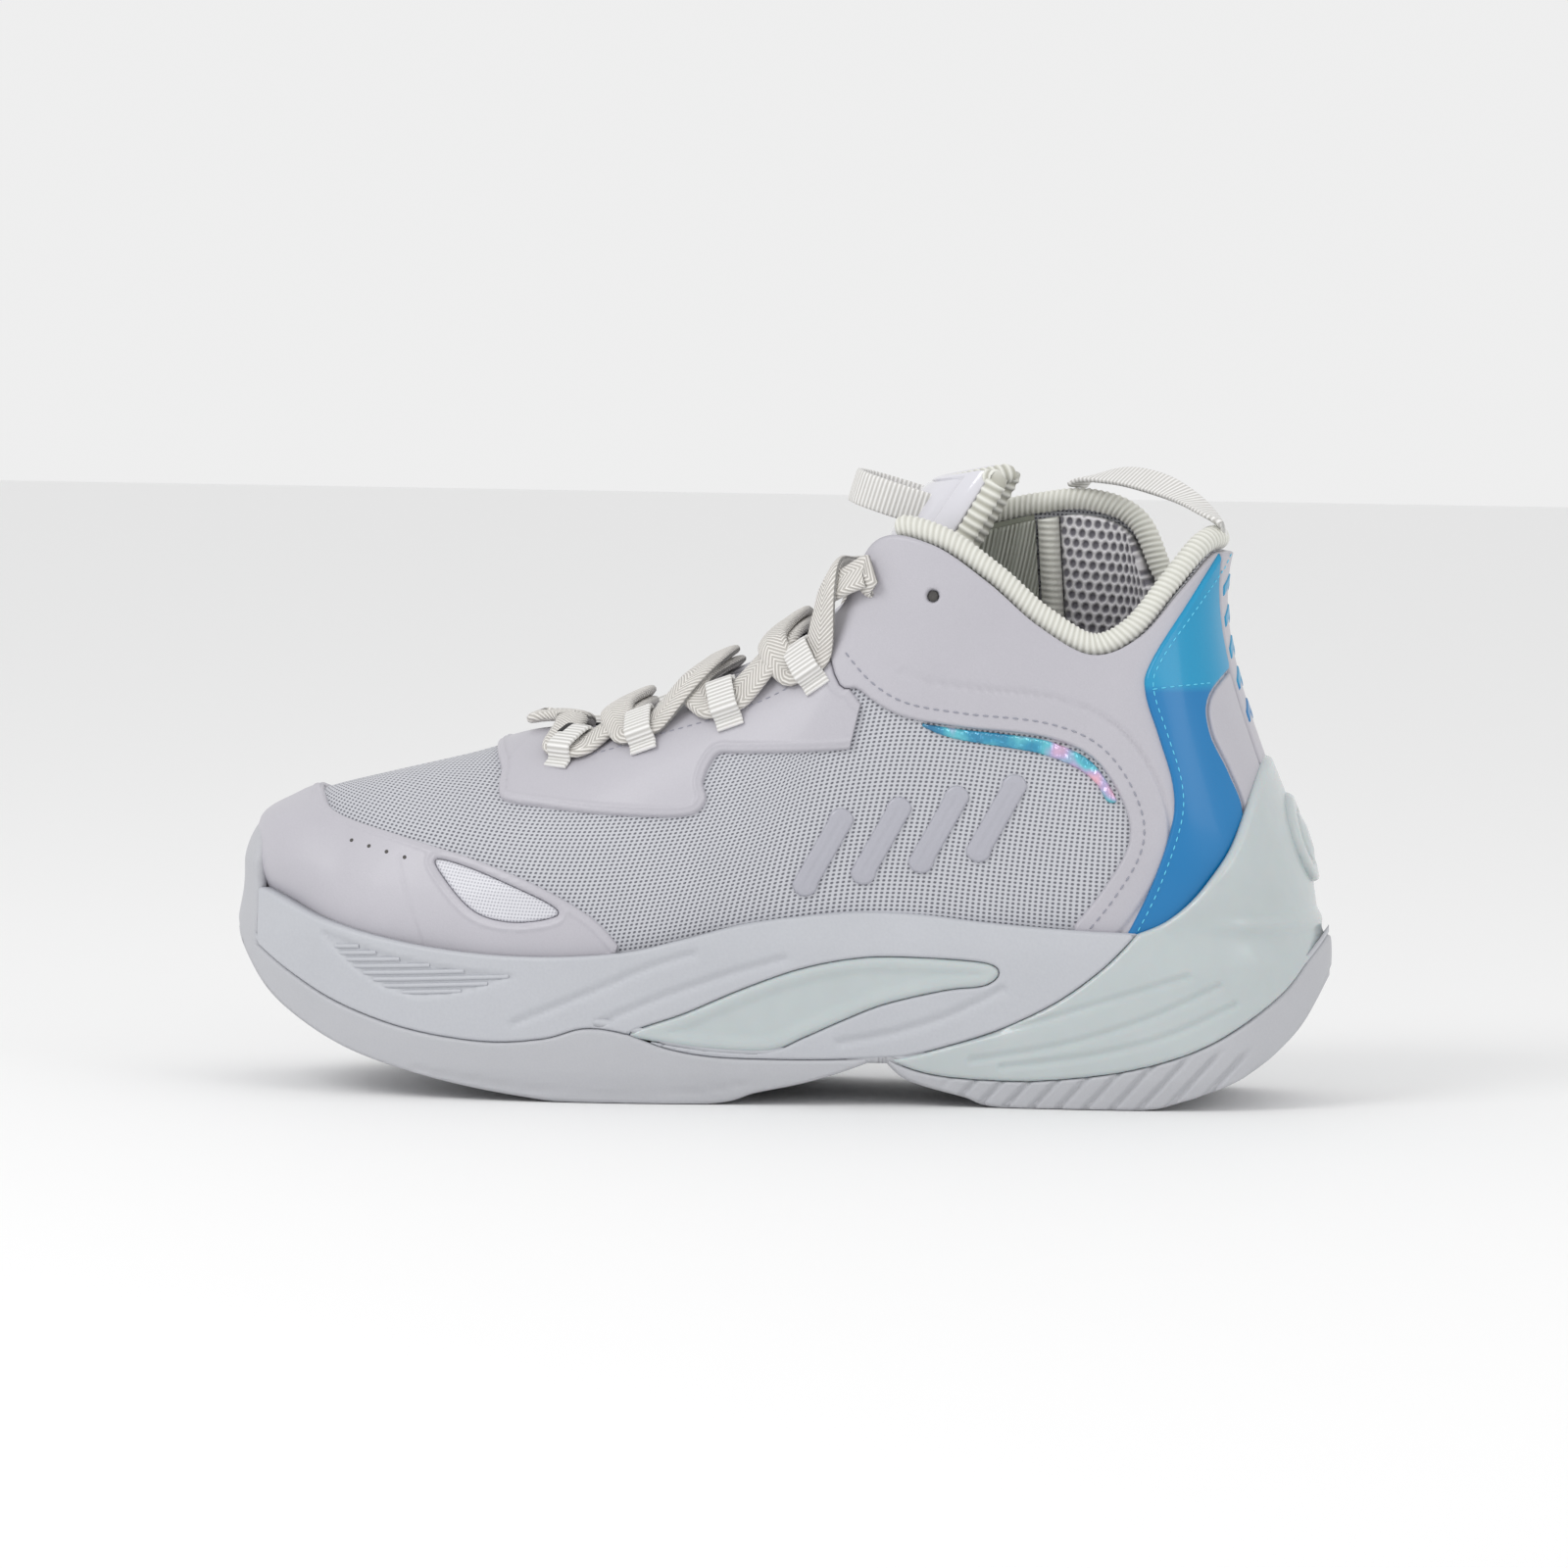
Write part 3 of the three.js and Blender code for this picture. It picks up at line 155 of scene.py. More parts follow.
# ---- The shoe's lines, as [x, z] in the side view, in millimetres --------------------------
# foot x, y, z, top x, y, z, swell x, y, z, crown x, y, z: the lateral wall from heel to toe.
LATERAL = [
    [132, 0, 38, 115, 0, 145, 13, 0, 28, -9, 0, -36],
    [127, -19, 38, 112, -11, 144, 9, -6, 28, -7, -7, -36],
    [113, -31, 38, 105, -21, 135, 4, -7, 28, -3, -8, -32],
    [94, -35.5, 38.5, 95, -29, 123, 0, -6, 28, -1, -5, -28],
    [76, -37, 39.5, 83, -32.5, 118.5, 0, -5, 28, 0, -3, -26],
    [58, -38, 41, 69, -34, 126, 0, -4, 28, -2, -3, -28],
    [40, -39, 42.5, 56, -34, 137, 1, -3, 28, -4, -3, -32],
    [22, -41, 42.5, 41, -32, 146.5, 2, -2, 28, -5, -5, -34],
    [4, -43.5, 40.5, 27, -28, 147, 3, -2, 27, -6, -8, -34],
    [-14, -46, 37, 18, -26, 129, 3, -2, 26, -8, -11, -24],
    [-32, -48, 33.5, 0, -23.5, 114, 3, -2, 25, -9, -13, -15],
    [-52, -48.5, 31, -23, -21, 103, 2, -3, 25, -10, -15, -9],
    [-72, -47, 31, -45, -15, 93.5, 1, -4, 25, -9, -17, -4],
    [-90, -43, 33, -64, 0, 93, 0, -5, 24, -5, -24, 1],
    [-107, -38, 36.5, -83, 0, 87.6, -1, -6, 22, -5, -23, 1],
    [-121, -29, 40.5, -103, 0, 82.6, -3, -5, 19, -6, -19, 1],
    [-131, -16, 44, -117, 0, 79, -4, -3, 16, -9, -11, 0.5],
    [-134.5, 0, 46, -125, 0, 76.6, -4, 0, 13, -9, 0, -0.5],
]
MEDIAL_FOOT = [19, 30, 33, 32.5, 32, 32.5, 34.5, 38, 42, 45.5, 48, 48, 44.5, 39, 29.5, 16]
MEDIAL_TOP = [[112, 11, 144], [107, 20, 135], [99, 26, 134], [90, 29, 149], [78, 29.5, 154], [65, 30, 153],
              [50, 30, 150], [30, 28, 147]]
TONGUE = [[-63, 90.5, 7, 0, 1.5, 2.5], [-41, 97.5, 15, 1, 6, 3.5], [-23, 106.5, 20, 2, 9, 4.5],
          [-5, 115, 22, 4, 10, 5], [8, 123, 23, 6, 10, 5.5], [17, 131, 22.5, 9, 8, 6], [23.5, 139, 22, 12, 5, 6],
          [29.5, 148, 21.5, 15, 1, 6], [36, 157, 21.5, 16, -2, 5.5], [41, 162.5, 21, 15, -3, 4.5]]
PLAN = [[144.5, 0, 0], [140.5, 16, 16], [129, 31, 30], [112, 38.5, 36.5], [92, 41.5, 37.5], [72, 42, 36],
        [52, 42, 34.5], [32, 43, 35], [12, 46, 38.5], [-8, 49.5, 43], [-28, 52.5, 47.5], [-50, 54, 51],
        [-72, 53, 51.5], [-94, 49, 48], [-113, 42, 41], [-129, 32, 31], [-141, 17, 17], [-145, 0, 0]]
FLARE = [[-2, -4.6], [3, -3.2], [8, -1.6], [16, -0.3], [27, 0.4], [41, 0.8], [52, -0.8], [62, -0.6], [73, -4.5]]
GROUND_FRONT = [[-147, 44], [-142, 36.5], [-135, 27], [-126, 20], [-112, 12.5], [-96, 7.4], [-79, 3.6], [-62, 1],
                [-50, 0], [-14, 0], [-2, 3], [10, 5.6], [20, 8.6], [27, 11.3]]
GROUND_BACK = [[32, 11.3], [36, 7.6], [42, 5.2], [52, 2.6], [62, 0], [98, 0], [109, 2.2], [121, 6.5], [130, 12],
               [138.5, 21], [143.5, 31], [148, 42]]
RUBBER_TOP = [[-147, 43], [-138, 37.4], [-127, 30.8], [-113, 23.8], [-94, 18.1], [-73, 15.5], [-57, 16.7],
              [-46.5, 19.6], [-36, 18.5], [-25, 14.7], [-13, 12.6], [3, 12], [15, 12], [27, 12.4]]
HEEL_RUBBER_TOP = [[32, 12.4], [38, 9.8], [46, 8], [58, 7.2], [73, 7.4], [96, 10.6], [116, 17.3], [133, 29],
                   [141, 39], [148, 48]]
CUP_FRONT = [[36, 13], [44, 15], [60, 20.3], [75.5, 27.9], [88, 37.2], [97, 46.5]]
CUP_TOP = [[97, 46.5], [104, 49.5], [111, 55], [117, 62], [121.5, 69], [124.5, 77], [127, 85.5], [128.5, 92.5]]
LIP = [[-147, 52], [-141, 52], [-135, 51.6], [-119, 45.7], [-100, 41.4], [-78.5, 38.7], [-57.5, 38.1], [-36.6, 39.6],
       [-21, 43.2], [-5.6, 47.3], [9.8, 49.6], [25.3, 50.8], [41, 50.3], [56.5, 48.7], [77.3, 47.2], [97, 46.5]]
LEAF = [[-34.6, 18.5], [-20.3, 24], [-4.8, 30.8], [10.7, 36.3], [26.2, 39.1], [41.6, 39.2], [57.2, 38.2], [61, 35.6],
        [57.3, 32.2], [46.9, 30.7], [31.3, 26.8], [21, 22.6], [10.7, 17.9], [1.7, 14.2], [-12, 14.4], [-25, 16]]
TOE_WRAP = [[-150, 20], [-150, 20], [-134, 20], [-134, 20], [-137.5, 36], [-138, 46], [-138.5, 58], [-138, 68],
            [-141, 71.5], [-150, 72.5], [-150, 72.5]]
TOE_CAP = [[-152, 84], [-125.6, 78.5], [-117, 72], [-96, 66.8], [-74.4, 61.2], [-58.2, 55.3], [-44.8, 47.9],
           [-36.7, 39.5], [-36.7, 39.5], [-60, 20], [-60, 20], [-152, 20], [-152, 20]]
WINDOW = [[-88, 61.5], [-80, 60.3], [-68.5, 56.4], [-56.5, 51.4], [-54.5, 48.5], [-63, 46.6], [-71, 47],
          [-77.5, 49.5], [-84, 55.5]]
EYESTAY = [[-73, 84], [-73, 80.6], [-71, 77], [-60, 75.8], [-44, 74.7], [-22, 74.8], [-16.5, 78.9], [-17.4, 84],
           [-14.2, 90.5], [-7.7, 91.2], [8, 92], [23.9, 93.5], [29, 96.7], [24.9, 103], [15, 117.4], [10, 140],
           [10, 140], [-40, 130], [-75, 100]]
QUARTER = [[15, 117.4], [23.3, 108.2], [34, 102], [50, 99.3], [71, 97.2], [84.3, 91.6], [92.4, 80], [93.9, 69.7],
           [87.6, 57.9], [80, 48.1], [80, 48.1], [82, 20], [82, 20], [170, 20], [170, 20], [170, 190], [170, 190],
           [5, 190], [5, 190]]
BAND = [[115.8, 150], [106.3, 131.9], [97.7, 116], [96.9, 108.5], [100.8, 97], [104.6, 84.9], [104.7, 74.5],
        [99.8, 58.7], [93.4, 45.6], [93.4, 45.6], [94, 20], [94, 20], [112, 20], [112, 20], [112, 51], [119.5, 63],
        [121.2, 76.6], [117.3, 87.5], [112.4, 98], [111.8, 107.7], [119.4, 119.3], [123.8, 131], [124, 141],
        [118.5, 152], [118.5, 152]]
HEEL_PANEL = [[118, 152], [124.6, 141], [124.3, 131], [120, 119], [112.4, 107.6], [113, 98.2], [117.9, 87.7],
              [121.8, 76.6], [120.1, 63], [112.6, 51], [112.6, 20], [112.6, 20], [170, 20], [170, 20], [170, 152],
              [170, 152]]
PIPING = [[38, 100.4], [50, 98.8], [60.5, 97.9], [71, 96.6], [78.5, 94], [84, 90.8], [88.2, 85.6], [91, 80.5],
          [91, 80.5], [88.2, 80.6], [85, 85.4], [79.5, 89.4], [71, 92.6], [60.5, 94.4], [50, 95.9], [43, 97.8],
          [38, 100.4]]
RIB_PANEL = [[-118, 43], [-112, 35.5], [-103, 29.5], [-95, 26.8], [-87, 26.4], [-75, 28.8], [-62, 33.6],
             [-62, 33.6], [-80, 35], [-100, 38.2]]
VENT = [41.7, 133.2]
# Lace rows, top eyelet: station from the heel and height up the wall. Crossings: stations up the tongue.
LACE_ROWS = [[12.2, 0.84], [11.27, 0.85], [10.36, 0.86], [9.28, 0.85]]
EYELET = [8.15, 0.9]
CROSSINGS = [1.2, 2.45, 3.75, 5.5]
SIDE = len(LATERAL) - 1
LOOP = 2 * SIDE
ROOT = "shoe"
SIDES = (("lateral", True), ("medial", False))


def stations(lateral: bool, low: float, high: float, steps: int) -> tuple[float, float, int]:
    """Stations from low to high on one side, and how many steps."""
    return (low, high, steps) if lateral else (LOOP - high, LOOP - low, steps)


def medial_row(row: list[float], index: int) -> list[float]:
    """The medial wall's station, from the lateral one on the same place along the shoe."""
    top = MEDIAL_TOP[index] if index < len(MEDIAL_TOP) else [row[3], -row[4], row[5]]
    return [row[0], MEDIAL_FOOT[index], row[2], *top, row[6], -row[7], row[8], row[9], -row[10], row[11]]


# ---- Surfaces -----------------------------------------------------------------------------
class Surface:
    """A surface that a piece can be cut from: a point for each u, v and distance outside it."""

    low: Array = np.array([-FAR, 0.0])
    high: Array = np.array([FAR, 1.0])
    reach: tuple[float, float] = (0.03, 0.006)

    def at(self, uv: Array, off: Array | float) -> Array:
        """Points at a distance outside the surface."""
        raise NotImplementedError

    def outward(self, uv: Array) -> Array:
        """The direction away from the foot at each point."""
        du, dv = self.reach
        a = self.at(uv + [du, 0], 0) - self.at(uv - [du, 0], 0)
        b = self.at(np.minimum(uv + [0, dv], self.high), 0) - self.at(np.maximum(uv - [0, dv], self.low), 0)
        return unit(np.cross(b, a))


class Last(Surface):
    """The upper's outer face: u runs round the stations from the heel, v from the foot to the top."""

    cells = (272, 40)
    girth_row = 16

    def __init__(self) -> None:
        """Lays out the stations round both sides."""
        medial = [medial_row(row, i) for i, row in enumerate(LATERAL[1:SIDE])][::-1]
        self.rows = np.array(LATERAL + medial, float)
        self._measure()

    def wall(self, uv: Array) -> Array:
        """Points of the outer face."""
        u, h = np.mod(uv[:, 0], LOOP), np.clip(uv[:, 1], 0, 1)[:, None]
        row = spline(self.rows, u, True)
        foot, top, swell, crown = row[:, 0:3], row[:, 3:6].copy(), row[:, 6:9], row[:, 9:12]
        lateral = u <= SIDE
        top[:, 1] = np.where(lateral, np.minimum(0, top[:, 1]), np.maximum(0, top[:, 1]))
        g = 1 - h
        return foot * g**3 + 3 * (foot + swell) * h * g * g + 3 * (top + crown) * h * h * g + top * h**3

    def at(self, uv: Array, off: Array | float) -> Array:
        """Points at a distance outside the outer face."""
        points = self.wall(uv)
        if np.all(np.asarray(off) == 0):
            return points
        normal = self.outward(uv)
        ridge = (uv[:, 1] > 0.9999) & (np.abs(points[:, 1]) < 1e-6)
        normal[ridge, 1] = 0
        return points + unit(normal) * np.broadcast_to(np.asarray(off, float), (len(uv),))[:, None]

    def _measure(self) -> None:
        """Tables of the distance along the wall and up it, for patterns that follow the cloth."""
        wide, tall = self.cells
        u, v = np.linspace(0, LOOP, wide + 1), np.linspace(0, 1, tall + 1)
        grid = self.wall(np.stack(np.meshgrid(u, v, indexing="ij"), -1).reshape(-1, 2))
        grid = grid.reshape(wide + 1, tall + 1, 3)
        self.around = walk(grid[:, self.girth_row])
        up = np.linalg.norm(np.diff(grid, axis=1), axis=2)
        self.up = np.concatenate([np.zeros((wide + 1, 1)), np.cumsum(up, axis=1)], 1)

    def cloth(self, uv: Array) -> Array:
        """Distances along and up the cloth, in millimetres."""
        wide, tall = self.cells
        u, v = np.mod(uv[:, 0], LOOP) * wide / LOOP, np.clip(uv[:, 1], 0, 1) * tall
        i, j = np.minimum(u.astype(int), wide - 1), np.minimum(v.astype(int), tall - 1)
        a, b = u - i, v - j
        up = (self.up[i, j] * (1 - a) + self.up[i + 1, j] * a) * (1 - b)
        up += (self.up[i, j + 1] * (1 - a) + self.up[i + 1, j + 1] * a) * b
        return np.stack([self.around[i] * (1 - a) + self.around[i + 1] * a, up], 1)

    def find(self, xz: Array, lateral: bool) -> Array:
        """Where side-view points lie on one side of the wall.

        Args:
            xz: side-view points.
            lateral: which side.

        Returns:
            The u and v of each.
        """
        u, v = np.meshgrid(np.linspace(0.2, SIDE - 0.2, 140), np.linspace(0, 1, 70), indexing="ij")
        uv = np.stack([u.ravel(), v.ravel()], 1)
        if not lateral:
            uv[:, 0] = LOOP - uv[:, 0]
        flat = self.wall(uv)[:, [0, 2]]
        nearest = np.array([np.argmin(((flat - p) ** 2).sum(1)) for p in np.asarray(xz, float)])
        found = uv[nearest].copy()
        for _ in range(6):
            here = self.wall(found)[:, [0, 2]]
            du = (self.wall(found + [0.01, 0])[:, [0, 2]] - here) / 0.01
            dv = (here - self.wall(found - [0, 0.005])[:, [0, 2]]) / 0.005
            miss = np.asarray(xz, float) - here
            det = du[:, 0] * dv[:, 1] - du[:, 1] * dv[:, 0]
            det = np.where(np.abs(det) < 1e-3, 1e-3, det)
            step = np.stack([miss[:, 0] * dv[:, 1] - miss[:, 1] * dv[:, 0],
                             du[:, 0] * miss[:, 1] - du[:, 1] * miss[:, 0]], 1) / det[:, None]
            found += np.clip(step, [-0.3, -0.06], [0.3, 0.06])
            found[:, 1] = np.clip(found[:, 1], 0, 1)
        return found


class SoleWall(Surface):
    """The sole's side wall: u runs round from the heel, v is the height in millimetres."""

    low = np.array([-FAR, -2.0])
    high = np.array([FAR, 73.0])

    def __init__(self) -> None:
        """Lays out the plan round both sides."""
        lateral = [[x, -a] for x, a, _ in PLAN]
        medial = [[x, b] for x, _, b in PLAN[1:SIDE]][::-1]
        self.loop = np.array(lateral + medial, float)
        self.heights, self.flares = np.array(FLARE, float).T

    def flare(self, z: Array) -> Array:
        """How far the wall leans out at each height."""
        t = np.interp(z, self.heights, np.arange(len(self.heights)))
        return spline(self.flares[:, None], t, False)[:, 0]

    def at(self, uv: Array, off: Array | float) -> Array:
        """Points at a distance outside the wall, measured level."""
        u, z = uv[:, 0], uv[:, 1]
        here, z = spline(self.loop, u, True), np.maximum(z, 0)
        run = unit(spline(self.loop, u + 0.05, True) - spline(self.loop, u - 0.05, True))
        out = (self.flare(z) + off)[:, None] * np.stack([-run[:, 1], run[:, 0]], 1)
        return np.concatenate([here + out, z[:, None]], 1)


class WrapFace(Surface):
    """The face of the heel cup or toe guard: the sole's wall below, and a wall hugging the upper above."""

    low = np.array([-FAR, 5.0])
    high = np.array([FAR, 100.0])

    def __init__(self, last: Last, sole: SoleWall, stand_off: float, join: tuple[float, float] = (36, 56),
                 extra: Callable | None = None) -> None:
        """Keeps the two surfaces that it joins.

        Args:
            last: the upper.
            sole: the sole's side wall.
            stand_off: how far it stands off the upper.
            join: heights between which it passes from one to the other.
            extra: from points of the upper to more stand-off.
        """
        self.last, self.sole, self.stand_off, self.join, self.extra = last, sole, stand_off, join, extra

    def at(self, uv: Array, off: Array | float) -> Array:
        """Points at a distance outside the cup's face."""
        u, z = uv[:, 0], uv[:, 1]
        low = self.sole.at(np.stack([u, np.minimum(z, 60)], 1), off)
        h = np.full(len(u), 0.2)
        goal = np.maximum(z, 40)
        for _ in range(5):
            here = self.last.wall(np.stack([u, h], 1))[:, 2]
            slope = (self.last.wall(np.stack([u, np.minimum(h + 0.01, 1)], 1))[:, 2] - here) / 0.01
            h = np.clip(h + (goal - here) / np.maximum(slope, 10), 0, 0.9)
        thin = self.stand_off - 1.6 * ease((z - 58) / 40)
        more = 0 if self.extra is None else self.extra(self.last.wall(np.stack([u, h], 1)))
        high = self.last.at(np.stack([u, h], 1), thin + off + more)
        w = ease((z - self.join[0]) / (self.join[1] - self.join[0]))[:, None]
        out = low * (1 - w) + high * w
        out[:, 2] = z
        return out


class Tongue(Surface):
    """The tongue's front face: u runs up it by stations, v across it from -1 to 1."""

    low = np.array([0.0, -1.0])
    high = np.array([9.0, 1.0])

    def at(self, uv: Array, off: Array | float) -> Array:
        """Points at a distance in front of the face."""
        v, w = uv[:, 0], uv[:, 1]
        row = spline(TONGUE, v, False)
        run = spline(TONGUE, np.minimum(9, v + 0.05), False) - spline(TONGUE, np.maximum(0, v - 0.05), False)
        run = unit(run[:, :2])
        x, z, half, back, down, _ = row.T
        return np.stack([x + back * w * w - run[:, 1] * off, half * w, z - down * w * w + run[:, 0] * off], 1)

    def outward(self, uv: Array) -> Array:
        """The direction away from the foot."""
        return unit(self.at(uv, 1.0) - self.at(uv, 0.0))

    def thickness(self, uv: Array) -> Array:
        """How thick the tongue is at each point."""
        return spline(TONGUE, uv[:, 0], False)[:, 5]


# ---- Regions of a surface -----------------------------------------------------------------
Region = Callable[[Array], tuple[Array, Array]]


def inside(outline: Array) -> Region:
    """The region within a closed side-view outline.

    Args:
        outline: its points as [x, z].

    Returns:
        A function from points to the distance inside it and that distance's gradient.
    """
    a = np.asarray(outline, float)
    b = np.roll(a, -1, axis=0)
    edge = b - a
    length = np.maximum((edge**2).sum(1), TINY)

    def distance(points: Array) -> tuple[Array, Array]:
        p = points[:, [0, 2]]
        best, near = np.full(len(p), 1e18), np.zeros_like(p)
        within = np.zeros(len(p), bool)
        for k in range(len(a)):
            t = np.clip(((p - a[k]) @ edge[k]) / length[k], 0, 1)
            q = a[k] + t[:, None] * edge[k]
            d = ((p - q) ** 2).sum(1)
            closer = d < best
            best[closer], near[closer] = d[closer], q[closer]
            span = (a[k, 1] > p[:, 1]) != (b[k, 1] > p[:, 1])
            if edge[k, 1]:
                within ^= span & (p[:, 0] < a[k, 0] + (p[:, 1] - a[k, 1]) * edge[k, 0] / edge[k, 1])
        sign = np.where(within, 1.0, -1.0)
        away = unit(p - near) * sign[:, None]
        return np.sqrt(best) * sign, np.stack([away[:, 0], np.zeros(len(p)), away[:, 1]], 1)

    return distance


def below(limit: Array) -> Region:
    """The region under a side-view line that runs along x."""
    pts = np.asarray(limit, float)
    return inside(np.concatenate([[[-FAR, pts[0, 1]]], pts, [[FAR, pts[-1, 1]], [FAR, -FAR], [-FAR, -FAR]]]))


def across(half: float) -> Region:
    """The region within a distance of the shoe's middle plane."""

    def distance(points: Array) -> tuple[Array, Array]:
        y = points[:, 1]
        return half - np.abs(y), np.stack([0 * y, -np.sign(y), 0 * y], 1)

    return distance


def ball(centre: Sequence[float], radius: float) -> Region:
    """The region within a distance of a point."""

    def distance(points: Array) -> tuple[Array, Array]:
        to = points - np.asarray(centre, float)
        return radius - np.linalg.norm(to, axis=1), -unit(to)

    return distance


def past(axis: int, sign: float, place: float) -> Region:
    """The region past a plane square to an axis, on the side that the sign gives."""

    def distance(points: Array) -> tuple[Array, Array]:
        return sign * (points[:, axis] - place), np.tile(sign * np.eye(3)[axis], (len(points), 1))

    return distance


def one_side(lateral: bool, keep: float) -> Region:
    """The region on one side of the middle plane, past a distance from it."""
    sign = -1.0 if lateral else 1.0
    return past(1, sign, sign * keep)


def everywhere(points: Array) -> tuple[Array, Array]:
    """A region without an edge."""
    return np.full(len(points), 9.0), np.zeros_like(points)


def outside(region: Region) -> Region:
    """Everything but a region."""

    def distance(points: Array) -> tuple[Array, Array]:
        d, g = region(points)
        return -d, -g

    return distance


def both(*regions: Region) -> Region:
    """What lies in every one of the regions."""

    def distance(points: Array) -> tuple[Array, Array]:
        d, g = regions[0](points)
        for region in regions[1:]:
            e, f = region(points)
            less = e < d
            d, g = np.where(less, e, d), np.where(less[:, None], f, g)
        return d, g

    return distance


# ---- Meshes -------------------------------------------------------------------------------
def make_object(name: str, points: Array, faces: list, finish: "Finish | ShiftingFilm", uv: Array | None = None,
                shade: Array | None = None) -> bpy.types.Object:
    """Makes a smooth mesh object whose place is in its mesh.

    Args:
        name: the piece's name.
        points: its vertices, in millimetres.
        faces: vertex indices of each face.
        finish: its finish.
        uv: cloth distances for each vertex, in millimetres.
        shade: a number from 0 to 1 for each vertex, which the finish may read as "shade".

    Returns:
        The object, linked to the scene.
    """
    mesh = bpy.data.meshes.new(name)
    mesh.from_pydata((np.asarray(points) * MM).tolist(), [], [list(map(int, f)) for f in faces])
    if uv is not None:
        corner = np.zeros(len(mesh.loops), np.int32)
        mesh.loops.foreach_get("vertex_index", corner)
        mesh.uv_layers.new(name="cloth").data.foreach_set("uv", np.asarray(uv)[corner].astype(np.float32).ravel())
    if shade is not None:
        mesh.attributes.new("shade", "FLOAT", "POINT").data.foreach_set("value", np.asarray(shade, np.float32))
    mesh.materials.append(PAINT(finish))
    mesh.shade_smooth()
    mesh.validate()
    obj = bpy.data.objects.new(name, mesh)
    bpy.context.scene.collection.objects.link(obj)
    return obj


